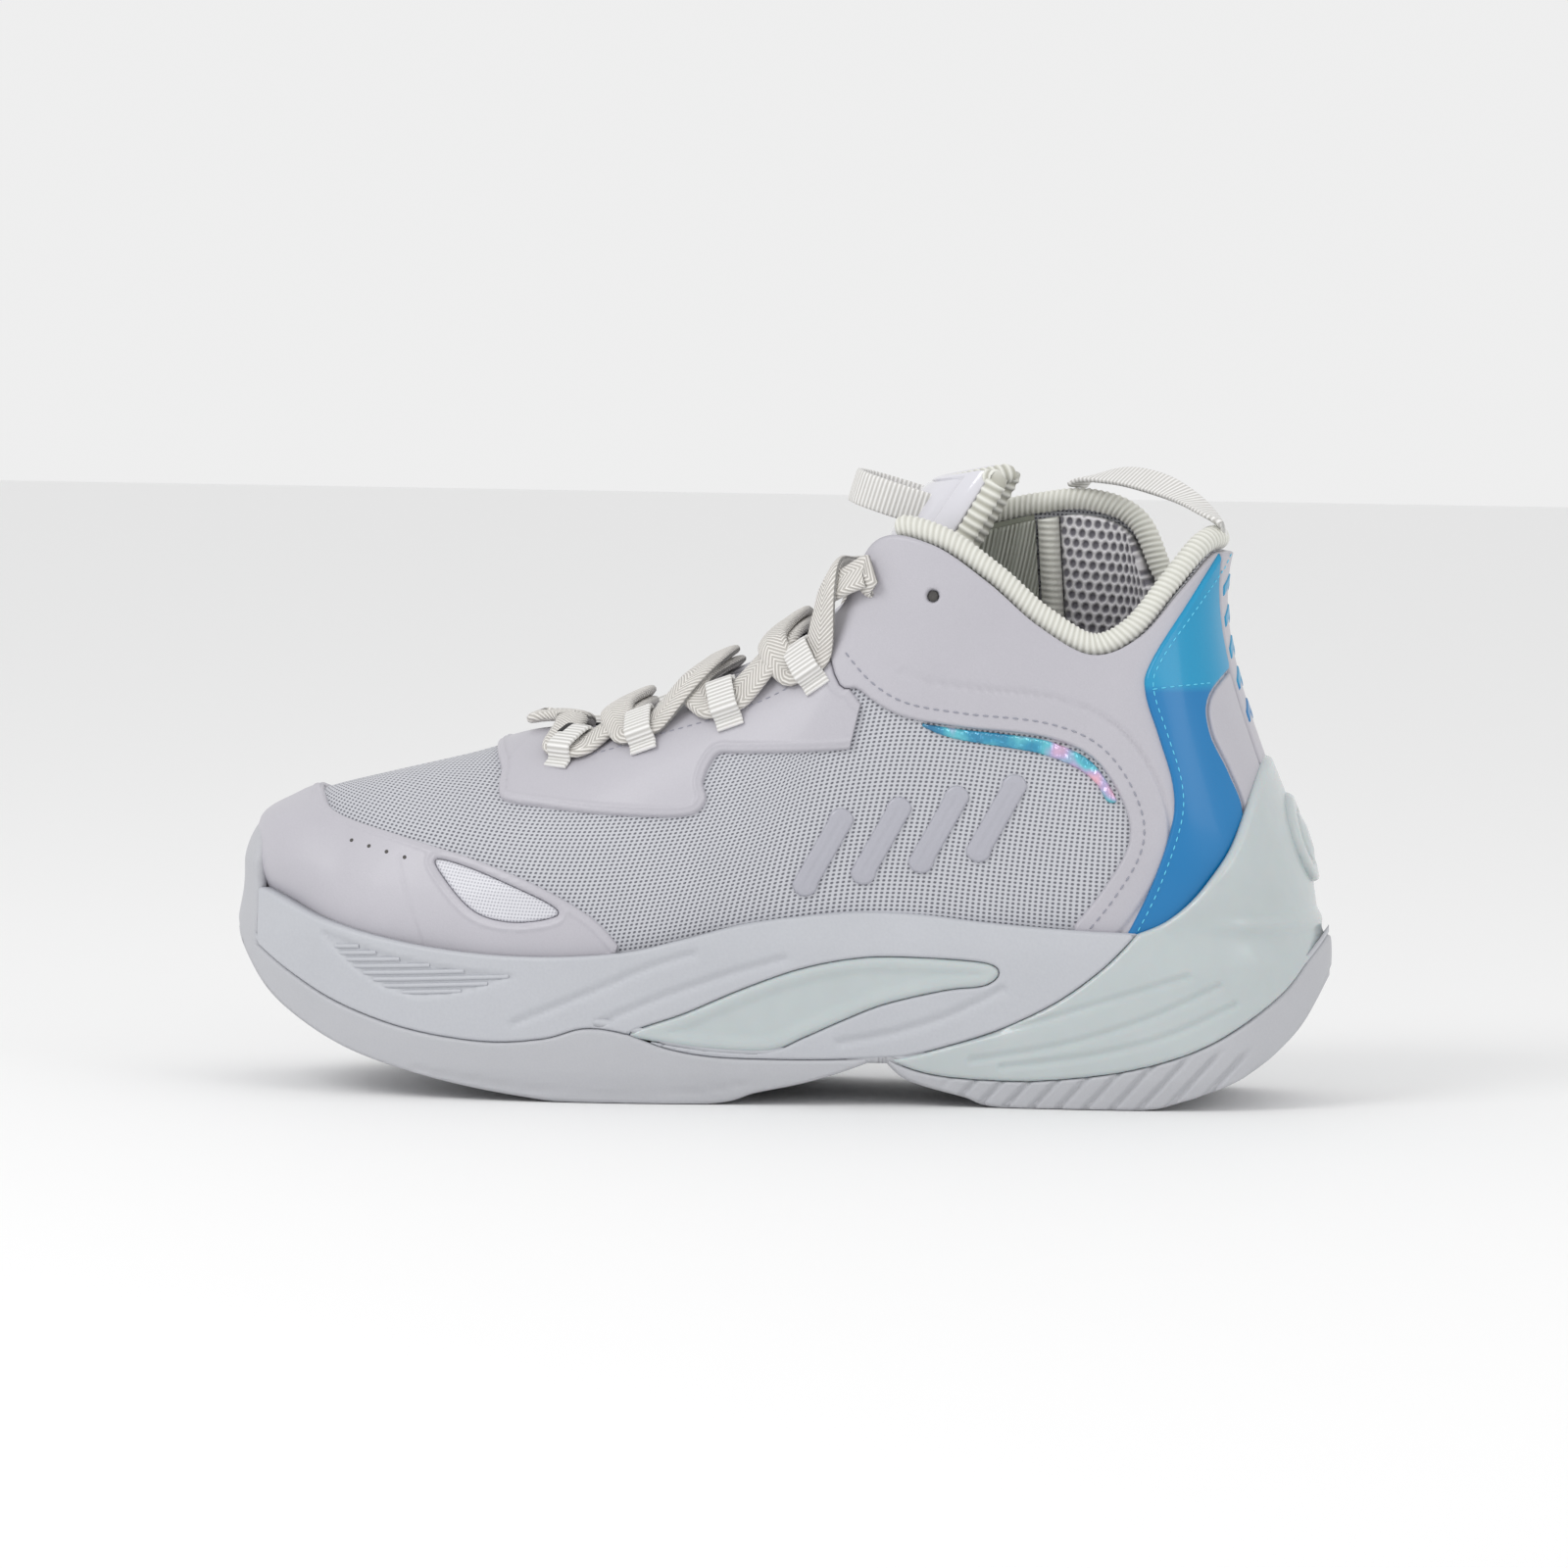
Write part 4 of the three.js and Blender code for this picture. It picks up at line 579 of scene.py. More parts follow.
class Patch:
    """Triangles on a surface, cut along lines of equal distance to a region's edge."""

    def __init__(self, surface: Surface, region: Region, u: tuple[float, float, int], v: tuple[float, float, int],
                 levels: Sequence[float]) -> None:
        """Cuts the region out of a grid.

        Args:
            surface: what it lies on.
            region: what is kept.
            u: first and last u, and how many steps.
            v: first and last v, and how many steps.
            levels: distances from the edge, in millimetres, where the mesh gets extra vertices.
        """
        self.surface, self.region = surface, region
        us, vs = np.linspace(*u[:2], u[2] + 1), np.linspace(*v[:2], v[2] + 1)
        self.wraps = abs(u[1] - u[0] - LOOP) < 1e-9
        grid_u, grid_v = np.meshgrid(us[:-1] if self.wraps else us, vs, indexing="ij")
        self.uv = np.stack([grid_u.ravel(), grid_v.ravel()], 1)
        rows, cols = u[2], len(vs)
        i, j = np.meshgrid(np.arange(rows), np.arange(cols - 1), indexing="ij")
        i, j = i.ravel(), j.ravel()
        k = (i + 1) % rows if self.wraps else i + 1
        a, b, c, d = i * cols + j, k * cols + j, k * cols + j + 1, i * cols + j + 1
        flip = ((i + j) % 2 == 0)[:, None]
        first = np.where(flip, np.stack([a, b, c], 1), np.stack([a, b, d], 1))
        second = np.where(flip, np.stack([a, c, d], 1), np.stack([b, c, d], 1))
        self.tri = np.concatenate([first, second])
        self.d = self.measure(self.uv)
        for level in [0.0, *[x for x in levels if x > 0]]:
            self.split(level)
            if level == 0.0:
                self.crop()

    def measure(self, uv: Array) -> Array:
        """How far inside the region each place is, along the surface."""
        points = self.surface.at(uv, 0)
        d, g = self.region(points)
        normal = self.surface.outward(uv)
        along = 1 - (g * normal).sum(1) ** 2
        return d / np.sqrt(np.clip(along, 0.12, 1))

    def split(self, level: float) -> None:
        """Cuts the triangles where the distance passes a level."""
        d = self.d - level
        d = np.where(np.abs(d) < 1e-5, 1e-5, d)
        flags = d[self.tri] > 0
        mixed = flags.any(1) & ~flags.all(1)
        if not mixed.any():
            return
        whole, cut, flags = self.tri[~mixed], self.tri[mixed], flags[mixed]
        lone = np.where(flags.sum(1) == 1, flags.argmax(1), (~flags).argmax(1))
        rows = np.arange(len(cut))
        a, b, c = cut[rows, lone], cut[rows, (lone + 1) % 3], cut[rows, (lone + 2) % 3]
        edges, where = np.unique(np.sort(np.concatenate([np.stack([a, b], 1), np.stack([a, c], 1)]), 1),
                                 axis=0, return_inverse=True)
        where = where.ravel()
        p, q = edges.T
        start, end = self.uv[p], self.uv[q].copy()
        if self.wraps:
            end[:, 0] += np.round((start[:, 0] - end[:, 0]) / LOOP) * LOOP
        lo, hi, dlo, dhi = np.zeros(len(p)), np.ones(len(p)), d[p], d[q]
        for _ in range(4):
            t = lo + (hi - lo) * dlo / (dlo - dhi)
            dt = self.measure(start + (end - start) * t[:, None]) - level
            same = np.sign(dt) == np.sign(dlo)
            lo, dlo = np.where(same, t, lo), np.where(same, dt, dlo)
            hi, dhi = np.where(same, hi, t), np.where(same, dhi, dt)
        new = start + (end - start) * np.clip(t, 0.02, 0.98)[:, None]
        base = len(self.uv)
        self.uv = np.concatenate([self.uv, new])
        self.d = np.concatenate([self.d, np.full(len(new), level)])
        ab, ac = base + where[: len(cut)], base + where[len(cut):]
        self.tri = np.concatenate([whole, np.stack([a, ab, ac], 1), np.stack([ab, b, c], 1), np.stack([ab, c, ac], 1)])

    def crop(self) -> None:
        """Keeps the triangles inside the region."""
        self.tri = self.tri[self.d[self.tri].mean(1) > 0]
        used, index = np.unique(self.tri, return_inverse=True)
        self.uv, self.d, self.tri = self.uv[used], self.d[used], index.reshape(-1, 3)

    def solid(self, name: str, finish: "Finish | ShiftingFilm", front: Callable | Array | float,
              back: Callable | Array | float, slot: str, *nodes: str, cloth: Callable | None = None,
              shade: Array | None = None) -> bpy.types.Object:
        """Raises the patch to a closed piece that rides on the shoe.

        Args:
            name: the piece's name.
            finish: its finish.
            front: how far out the face stands, or a function of distances and points that gives it.
            back: the same for the hidden face.
            slot: the record's material slot.
            nodes: CAD nodes that it replaces.
            cloth: from u, v to cloth distances.
            shade: the shade attribute.

        Returns:
            The object.
        """
        base = self.surface.at(self.uv, 0)
        n = len(base)
        out, low = (h(self.d, base) if callable(h) else np.broadcast_to(float(h) if np.isscalar(h) else h, (n,))
                    for h in (front, back))
        face, hidden = self.surface.at(self.uv, out), self.surface.at(self.uv, low)
        tri = self.tri
        normal = np.cross(face[tri[:, 1]] - face[tri[:, 0]], face[tri[:, 2]] - face[tri[:, 0]])
        lift = (face - hidden)[tri].mean(1)
        if (normal * lift).sum() < 0:
            tri = tri[:, ::-1]
        directed = np.concatenate([tri[:, [0, 1]], tri[:, [1, 2]], tri[:, [2, 0]]])
        keys = directed[:, 0] * n + directed[:, 1]
        lone = directed[~np.isin(keys, directed[:, 1] * n + directed[:, 0])]
        rim = np.stack([lone[:, 1], lone[:, 0], lone[:, 0] + n, lone[:, 1] + n], 1)
        faces = tri.tolist() + (tri[:, ::-1] + n).tolist() + rim.tolist()
        uv = None if cloth is None else np.tile(cloth(self.uv), (2, 1))
        tone = None if shade is None else np.tile(shade, 2)
        piece = make_object(name, np.concatenate([face, hidden]), faces, finish, uv, tone)
        return dress(piece, ROOT, slot, *nodes)


def edge_profile(low: float, high: float, radius: float = 0.6, welt: float = 0.0) -> Callable:
    """A face that rises from its edge with a round shoulder.

    Args:
        low: the height at the edge.
        high: the height inside.
        radius: how far from the edge it is full.
        welt: height of a raised line just inside the edge.

    Returns:
        A function from distances and points to heights.
    """

    def height(d: Array, _: Array) -> Array:
        return low + (high - low) * rounded(d / radius) + welt * bump_at(d, 2.0, 0.9)

    return height


def toe_fullness(points: Array) -> Array:
    """How much the toe cap stands out over the upper at its very front, where it thickens."""
    return 5.0 * ease((-112 - points[:, 0]) / 20) * ease((points[:, 2] - 46) / 14) * ease((76 - points[:, 2]) / 9)


def loft(name: str, rings: Array, finish: "Finish", uv: Array | None = None,
         shade: Array | None = None) -> bpy.types.Object:
    """A closed skin over rings of points, with a cap at each end.

    Args:
        name: the piece's name.
        rings: points as [ring, around, xyz].
        finish: its finish.
        uv: cloth distances as [ring, around, 2].
        shade: the shade attribute as [ring, around].

    Returns:
        The object, facing outwards.
    """
    count, n = rings.shape[:2]
    i, j = (axis.ravel() for axis in np.meshgrid(np.arange(count - 1), np.arange(n), indexing="ij"))
    k, m = i + 1, (j + 1) % n
    faces = np.stack([i * n + j, k * n + j, k * n + m, i * n + m], 1).tolist()
    points = rings.reshape(-1, 3)
    a = np.array(faces)
    volume = (points[a[:, 0]] * np.cross(points[a[:, 1]], points[a[:, 2]])).sum()
    faces += [list(range(n)), list(range((count - 1) * n, count * n))[::-1]]
    if volume < 0:
        faces = [f[::-1] for f in faces]
    return make_object(name, points, faces, finish, None if uv is None else uv.reshape(-1, 2),
                       None if shade is None else shade.reshape(-1))


@dataclass
class Strip:
    """A strap, cord or roll: a section carried along a route whose face looks in a given direction."""

    points: Array
    faces: Array
    width: float
    thick: float
    steps_per_mm: float = 1.0
    round_edge: float = 0.5
    swell: Callable | None = None

    def frames(self) -> tuple[Array, Array, Array, Array]:
        """Places, across and up directions, and distance along the route."""
        rows = np.concatenate([self.points, self.faces], 1)
        end = len(rows) - 1
        knots = np.linspace(0, end, 60 * end + 1)
        walked = walk(spline(rows, knots, False)[:, :3])
        count = max(4, int(walked[-1] * self.steps_per_mm))
        t = np.interp(np.linspace(0, walked[-1], count + 1), walked, knots)
        before, spot, after = (spline(rows, np.clip(t + step, 0, end), False) for step in (-0.03, 0.0, 0.03))
        run = unit(after[:, :3] - before[:, :3])
        side = unit(np.cross(run, spot[:, 3:]))
        return spot[:, :3], side, np.cross(side, run), np.linspace(0, walked[-1], len(t))

    def section(self) -> Array:
        """A flat section with round edges, or a round one where it is as thick as wide."""
        turn = np.linspace(0, 2 * np.pi, 17)[:-1]
        c, s = np.cos(turn), np.sin(turn)
        return np.stack([np.sign(c) * np.abs(c) ** self.round_edge * self.width / 2,
                         np.sign(s) * np.abs(s) ** self.round_edge * self.thick / 2], 1)

    def build(self, name: str, finish: "Finish", body: str, slot: str, *nodes: str) -> bpy.types.Object:
        """Makes the piece.

        Args:
            name: the piece's name.
            finish: its finish.
            body: the body that carries it.
            slot: the record's material slot.
            nodes: CAD nodes that it replaces.

        Returns:
            The object.
        """
        spot, side, up, walked = self.frames()
        section = self.section()
        wide, tall = np.ones(len(spot)), np.ones(len(spot))
        if self.swell is not None:
            wide, tall = self.swell(walked)
        a, b = section[:, 0][None] * wide[:, None], section[:, 1][None] * tall[:, None]
        rings = spot[:, None] + a[..., None] * side[:, None] + b[..., None] * up[:, None]
        uv = np.stack(np.broadcast_arrays(walked[:, None], walk(section)[None]), -1)
        return dress(loft(name, rings, finish, uv), body, slot, *nodes)


# ---- Nodes --------------------------------------------------------------------------------
def add(tree: bpy.types.NodeTree, kind: str, inputs: dict | None = None, **settings: object) -> bpy.types.Node:
    """Adds a node with its settings, values and links.

    Args:
        tree: the tree that gets it.
        kind: the node's type name.
        inputs: a value or an output socket for each input, by name or number.
        settings: the node's own properties.

    Returns:
        The node.
    """
    made = tree.nodes.new(kind)
    for key, value in settings.items():
        setattr(made, key, value)
    for key, value in (inputs or {}).items():
        if isinstance(value, bpy.types.NodeSocket):
            tree.links.new(value, made.inputs[key])
        else:
            made.inputs[key].default_value = value
    return made


class Pattern(Enum):
    """What a finish's surface is made of, close up."""

    GRAIN = "fine random grain"
    MESH = "rows of small holes"
    TWILL = "slanted threads that turn back at the middle"
    RIB = "ribs across"
    SHADE = "the piece's own shade attribute"


@dataclass(frozen=True)
class Finish:
    """A finish: colours, gloss and close-up pattern."""

    name: str
    colour: str
    hollow: str
    rough: float
    pattern: Pattern = Pattern.GRAIN
    pitch: tuple[float, float] = (0.6, 0.6)
    relief: float = 0.05
    blotch: float = 0.04
    coat: float = 0.0
    sheen: float = 0.0
    ior: float = 1.45
    under: str = ""
    under_z: tuple[float, float] = (0.0, 1.0)
    depth_glow: float = 0.0

    def _wave(self, tree: bpy.types.NodeTree, value: bpy.types.NodeSocket, pitch: float) -> bpy.types.NodeSocket:
        """A wave from 0 to 1 with a length in the value's units."""
        turns = add(tree, "ShaderNodeMath", {0: value, 1: 2 * np.pi / pitch}, operation="MULTIPLY")
        wave = add(tree, "ShaderNodeMath", {0: turns.outputs[0]}, operation="COSINE")
        return add(tree, "ShaderNodeMath", {0: wave.outputs[0], 1: 0.5, 2: 0.5}, operation="MULTIPLY_ADD").outputs[0]

    def _height(self, tree: bpy.types.NodeTree, place: bpy.types.NodeSocket) -> bpy.types.NodeSocket:
        """The pattern's height from 0, hollow, to 1."""
        if self.pattern is Pattern.GRAIN:
            noise = add(tree, "ShaderNodeTexNoise", {"Vector": place, "Scale": 1 / (self.pitch[0] * MM), "Detail": 3.0})
            return noise.outputs["Fac"]
        if self.pattern is Pattern.SHADE:
            return add(tree, "ShaderNodeAttribute", attribute_name="shade").outputs["Fac"]
        cloth = add(tree, "ShaderNodeUVMap", uv_map="cloth")
        parts = add(tree, "ShaderNodeSeparateXYZ", {0: cloth.outputs[0]})
        u, v = parts.outputs[0], parts.outputs[1]
        if self.pattern is Pattern.RIB:
            return self._wave(tree, u, self.pitch[0])
        if self.pattern is Pattern.TWILL:
            turn = add(tree, "ShaderNodeMath", {0: v, 1: self.pitch[1]}, operation="PINGPONG")
            return self._wave(tree, add(tree, "ShaderNodeMath", {0: u, 1: turn.outputs[0]}, operation="ADD").outputs[0],
                              self.pitch[0])
        one, two = self._wave(tree, u, self.pitch[0]), self._wave(tree, v, self.pitch[1])
        hole = add(tree, "ShaderNodeMath", {0: one, 1: two}, operation="MULTIPLY")
        return add(tree, "ShaderNodeMapRange", {"Value": hole.outputs[0], "From Min": 0.75, "From Max": 0.15},
                   interpolation_type="SMOOTHSTEP").outputs[0]

    def build(self) -> bpy.types.Material:
        """Makes the material."""
        material = bpy.data.materials.new(self.name)
        material.use_nodes = True
        tree = material.node_tree
        tree.nodes.clear()
        place = add(tree, "ShaderNodeTexCoord").outputs["Object"]
        height = self._height(tree, place)
        tint = add(tree, "ShaderNodeMix", {0: height, 6: linear(self.hollow), 7: linear(self.colour)}, data_type="RGBA")
        colour = tint.outputs[2]
        if self.under:
            z = add(tree, "ShaderNodeSeparateXYZ", {0: place}).outputs[2]
            low = add(tree, "ShaderNodeMapRange", {"Value": z, "From Min": self.under_z[1] * MM,
                                                   "From Max": self.under_z[0] * MM})
            colour = add(tree, "ShaderNodeMix", {0: low.outputs[0], 6: colour, 7: linear(self.under)},
                         data_type="RGBA").outputs[2]
        cloud = add(tree, "ShaderNodeTexNoise", {"Vector": place, "Scale": 45.0, "Detail": 4.0})
        value = add(tree, "ShaderNodeMapRange", {"Value": cloud.outputs["Fac"], "To Min": 1 - self.blotch,
                                                 "To Max": 1 + self.blotch})
        colour = add(tree, "ShaderNodeHueSaturation", {"Value": value.outputs[0], "Color": colour}).outputs[0]
        gloss = add(tree, "ShaderNodeMapRange", {"Value": cloud.outputs["Fac"], "To Min": max(0.02, self.rough - 0.06),
                                                 "To Max": min(1.0, self.rough + 0.06)})
        bump = add(tree, "ShaderNodeBump", {"Height": height, "Distance": self.relief * MM, "Strength": 0.9})
        shader = add(tree, "ShaderNodeBsdfPrincipled", {
            "Base Color": colour, "Roughness": gloss.outputs[0], "Normal": bump.outputs[0], "IOR": self.ior,
            "Coat Weight": self.coat, "Coat Roughness": 0.12, "Sheen Weight": self.sheen, "Sheen Roughness": 0.4,
            "Subsurface Weight": self.depth_glow, "Subsurface Scale": 0.004})
        add(tree, "ShaderNodeOutputMaterial", {0: shader.outputs[0]})
        return material


@dataclass(frozen=True)
class ShiftingFilm:
    """Holographic film: its colour shifts from blue through cyan to pink over small raised beads."""

    name: str = "holographic_tpu_film"
    bead: float = 2.2

    def build(self) -> bpy.types.Material:
        """Makes the material."""
        material = bpy.data.materials.new(self.name)
        material.use_nodes = True
        tree = material.node_tree
        tree.nodes.clear()
        place = add(tree, "ShaderNodeTexCoord").outputs["Object"]
        noise = add(tree, "ShaderNodeTexNoise", {"Vector": place, "Scale": 90.0, "Detail": 1.0})
        beads = add(tree, "ShaderNodeTexVoronoi", {"Vector": place, "Scale": 1 / (self.bead * MM)}, feature="F1")
        x = add(tree, "ShaderNodeSeparateXYZ", {0: place}).outputs[0]
        drift = add(tree, "ShaderNodeMapRange", {"Value": x, "From Min": 0.045, "From Max": 0.09, "To Min": -0.04,
                                                 "To Max": 0.14})
        mixed = add(tree, "ShaderNodeMath", {0: noise.outputs["Fac"], 1: drift.outputs[0]}, operation="ADD")
        ramp = add(tree, "ShaderNodeValToRGB", {0: mixed.outputs[0]})
        stops = ramp.color_ramp.elements
        stops[0].position, stops[0].color = 0.34, linear("0d6f9e")
        stops[1].position, stops[1].color = 0.70, linear("f3b4c2")
        for position, code in ((0.46, "1f8fb4"), (0.54, "58bccb"), (0.60, "b6a6cf")):
            stops.new(position).color = linear(code)
        bump = add(tree, "ShaderNodeBump", {"Height": beads.outputs["Distance"], "Distance": 0.5 * MM}, invert=True)
        shader = add(tree, "ShaderNodeBsdfPrincipled", {
            "Base Color": ramp.outputs[0], "Roughness": 0.18, "Normal": bump.outputs[0], "Coat Weight": 1.0,
            "Coat Roughness": 0.05, "Metallic": 0.25})
        add(tree, "ShaderNodeOutputMaterial", {0: shader.outputs[0]})
        return material


# Compression-moulded rubber: matt, barely grained.
RUBBER = Finish("moulded_rubber", "bcbdc1", "b3b4b9", 0.5, pitch=(0.5, 0.5), relief=0.02)
# EVA foam under its moulded skin: satin, with the mould's fine spark-eroded texture.
FOAM = Finish("moulded_eva_foam", "c0c2c7", "b6b8be", 0.46, pitch=(0.7, 0.7), relief=0.03)
# Thermoplastic polyurethane, moulded translucent: glossy, faintly green, light sinks in a little.
TPU = Finish("moulded_tpu", "bcc4c5", "b7bfc0", 0.24, pitch=(6.0, 6.0), relief=0.0, coat=0.35, depth_glow=0.15)
# Polyurethane synthetic leather, fused on: satin, fine even grain.
LEATHER = Finish("pu_synthetic_leather", "bebcc3", "b4b2b9", 0.42, pitch=(0.45, 0.45), relief=0.035, coat=0.08)
# Warp-knitted monofilament mesh: rows of holes that show a darker backing.
MESH = Finish("monofilament_mesh", "c3c4ca", "6a6b73", 0.6, Pattern.MESH, (1.44, 1.1), 0.22, sheen=0.15)
# A finer mesh behind the toe window.
NET = Finish("fine_net", "d6d6dc", "b4b4bc", 0.5, Pattern.MESH, (0.9, 0.9), 0.12, coat=0.2)
# Thermoplastic film, welded: blue, lighter above the cross seam.
BLUE = Finish("blue_tpu_film", "0a93c0", "088cb9", 0.34, pitch=(0.5, 0.5), relief=0.015, coat=0.25,
              under="0374b0", under_z=(109.0, 111.0))
# Polished film over foam: mirror-like streaks.
GLOSS = Finish("patent_film", "dad9e0", "d6d5dc", 0.06, pitch=(9.0, 9.0), relief=0.08, coat=1.0)
# The badge's fused bars: the same leather, a shade lighter.
BADGE = Finish("fused_badge_film", "b0b0b9", "a8a8b1", 0.3, pitch=(0.5, 0.5), relief=0.02, coat=0.3)
# Rib-knitted polyester tape.
KNIT = Finish("rib_knit", "e6e6df", "b3b2a7", 0.85, Pattern.SHADE, relief=0.1, sheen=0.3)
# The same tape, sewn round the tongue.
EDGE_KNIT = Finish("rib_knit_edging", "e6e6df", "b3b2a7", 0.85, Pattern.RIB, (2.3, 2.3), 0.15, sheen=0.3)
# Spacer fabric: deep hexagonal openings in the face.
SPACER = Finish("spacer_knit", "e4e2e5", "7d7b83", 0.8, Pattern.SHADE, relief=0.1, sheen=0.3)
# Elastic gore with ribs that run up.
GORE = Finish("elastic_gore", "c6c9c0", "8f9186", 0.85, Pattern.RIB, (1.3, 1.3), 0.25, sheen=0.2)
# Woven polyester webbing.
WEBBING = Finish("woven_webbing", "f2f1ef", "c4c2be", 0.7, Pattern.RIB, (1.25, 1.25), 0.22, sheen=0.25)
# Flat braided lace.
LACE = Finish("braided_lace", "f1eee9", "b9b5af", 0.8, Pattern.TWILL, (1.25, 4.2), 0.3, sheen=0.35)
# Brushed polyester lining.
LINING = Finish("brushed_lining", "a7aa9d", "85887c", 0.95, pitch=(0.8, 0.8), relief=0.1, sheen=0.3)
# Knitted cover of the sockliner.
SOCK = Finish("sockliner_knit", "b3b4ad", "94958e", 0.95, pitch=(0.7, 0.7), relief=0.1, sheen=0.3)
# Perforated spacer cloth of the tongue.
TONGUE_CLOTH = Finish("tongue_cloth", "cfced4", "8e8d95", 0.75, Pattern.SHADE, relief=0.06, sheen=0.2)
# Pressed fibre board, counter and toe puff, all hidden.
BOARD = Finish("pressed_fibre", "b3aa9a", "a1988a", 0.9)
# Polyester thread.
THREAD = Finish("thread", "9fa0ab", "8f909b", 0.6, pitch=(0.3, 0.3))
BLUE_THREAD = Finish("blue_thread", "6fd3ee", "4fc0e0", 0.5, pitch=(0.3, 0.3))
# Painted shade: a dark disc that stands for the shadow inside a punched hole. The lace's black end is its own colour.
PAINTED_HOLE_SHADE = Finish("painted_hole_shade", "5c5a58", "4c4a48", 0.9)
BLACK = Finish("black_thread", "2a2a2b", "1f1f20", 0.7)


class Shop:
    """Keeps each finish's material, so that it's made once."""

    def __init__(self) -> None:
        """Starts with nothing made."""
        self.made: dict[str, bpy.types.Material] = {}

    def __call__(self, finish: Finish | ShiftingFilm) -> bpy.types.Material:
        """The finish's material."""
        if finish.name not in self.made:
            self.made[finish.name] = finish.build()
        return self.made[finish.name]


PAINT = Shop()


# ---- Rows of stitches, ribs and holes --------------------------------------------------------
class Row(Enum):
    """What a Geometry Nodes row lays along its lines."""

    STITCH = "stitch"
    RIB = "rib"
    # A flat bead; laid with the dark hole finish, it is a disc of painted shade that stands for a hole.
    HOLE = "hole"


def row_tree(row: Row) -> bpy.types.NodeTree:
    """Builds the tree that turns lines with an "up" direction into stitches, ribs or holes.

    Args:
        row: what it lays.

    Returns:
        A tree with the inputs Pitch, Length, Width and Finish.
    """
    tree = bpy.data.node_groups.new(f"lay_{row.value}", "GeometryNodeTree")
    face = tree.interface
    face.new_socket("Geometry", in_out="INPUT", socket_type="NodeSocketGeometry")
    for name in ("Pitch", "Length", "Width"):
        face.new_socket(name, in_out="INPUT", socket_type="NodeSocketFloat")
    face.new_socket("Finish", in_out="INPUT", socket_type="NodeSocketMaterial")
    face.new_socket("Geometry", in_out="OUTPUT", socket_type="NodeSocketGeometry")
    given = add(tree, "NodeGroupInput").outputs
    points = given["Geometry"]
    if row is not Row.HOLE:
        curve = add(tree, "GeometryNodeMeshToCurve", {"Mesh": points}).outputs[0]
    if row is Row.RIB:
        ring = add(tree, "GeometryNodeCurvePrimitiveCircle", {"Resolution": 8, "Radius": given["Width"]})
        laid = add(tree, "GeometryNodeCurveToMesh", {"Curve": curve, "Profile Curve": ring.outputs[0],
                                                     "Fill Caps": True}).outputs[0]
    else:
        up = add(tree, "GeometryNodeInputNamedAttribute", {"Name": "up"}, data_type="FLOAT_VECTOR").outputs[0]
        if row is Row.HOLE:
            turned = add(tree, "FunctionNodeAlignRotationToVector", {"Vector": up}, axis="X").outputs[0]
        else:
            points = add(tree, "GeometryNodeResampleCurve", {"Curve": curve, "Length": given["Pitch"]},
                         mode="LENGTH").outputs[0]
            run = add(tree, "GeometryNodeInputTangent").outputs[0]
            first = add(tree, "FunctionNodeAlignRotationToVector", {"Vector": run}, axis="X").outputs[0]
            turned = add(tree, "FunctionNodeAlignRotationToVector", {"Rotation": first, "Vector": up}, axis="Z",
                         pivot_axis="X").outputs[0]
        bead = add(tree, "GeometryNodeMeshUVSphere", {"Segments": 8, "Rings": 6, "Radius": 0.5}).outputs[0]
        size = add(tree, "ShaderNodeCombineXYZ", {0: given["Length"], 1: given["Width"], 2: given["Width"]})
        laid = add(tree, "GeometryNodeInstanceOnPoints", {
            "Points": points, "Instance": bead, "Rotation": turned, "Scale": size.outputs[0]}).outputs[0]
    real = add(tree, "GeometryNodeRealizeInstances", {0: laid}).outputs[0]
    soft = add(tree, "GeometryNodeSetShadeSmooth", {0: real}).outputs[0]
    done = add(tree, "GeometryNodeSetMaterial", {"Geometry": soft, "Material": given["Finish"]}).outputs[0]
    add(tree, "NodeGroupOutput", {0: done})
    return tree


TREES: dict[Row, bpy.types.NodeTree] = {}


@dataclass
class Route:
    """A line on a surface, with the direction away from it."""

    points: Array
    up: Array


def lay(name: str, row: Row, routes: Sequence[Route], finish: Finish, slot: str, width: float,
        length: float = 1.0, pitch: float = 1.0) -> None:
    """Lays stitches, ribs or holes along routes with Geometry Nodes, as one plain mesh piece of the shoe.

    Args:
        name: the piece's name.
        row: what is laid.
        routes: where, in millimetres.
        finish: its finish.
        slot: the record's material slot.
        width: width of each stitch or hole; a rib's radius.
        length: length of each stitch; a hole's depth.
        pitch: distance from one stitch to the next.
    """
    if row not in TREES:
        TREES[row] = row_tree(row)
    tree = TREES[row]
    edges, start = [], 0
    for route in routes:
        edges += [] if row is Row.HOLE else [(start + i, start + i + 1) for i in range(len(route.points) - 1)]
        start += len(route.points)
    mesh = bpy.data.meshes.new(name)
    mesh.from_pydata((np.concatenate([route.points for route in routes]) * MM).tolist(), edges, [])
    up = np.concatenate([route.up for route in routes]).astype(np.float32)
    mesh.attributes.new("up", "FLOAT_VECTOR", "POINT").data.foreach_set("vector", up.ravel())
    source = bpy.data.objects.new(name + "_lines", mesh)
    bpy.context.scene.collection.objects.link(source)
    modifier = source.modifiers.new("lay", "NODES")
    modifier.node_group = tree
    keys = {item.name: item.identifier for item in tree.interface.items_tree if item.in_out == "INPUT"}
    for key, value in (("Pitch", pitch), ("Length", length), ("Width", width)):
        modifier[keys[key]] = value * MM
    modifier[keys["Finish"]] = PAINT(finish)
    result = bpy.data.meshes.new_from_object(source.evaluated_get(bpy.context.evaluated_depsgraph_get()))
    source.modifiers.remove(modifier)
    bpy.data.objects.remove(source)
    result.name = name
    if "up" in result.attributes:
        result.attributes.remove(result.attributes["up"])
    obj = bpy.data.objects.new(name, result)
    bpy.context.scene.collection.objects.link(obj)
    dress(obj, ROOT, slot)


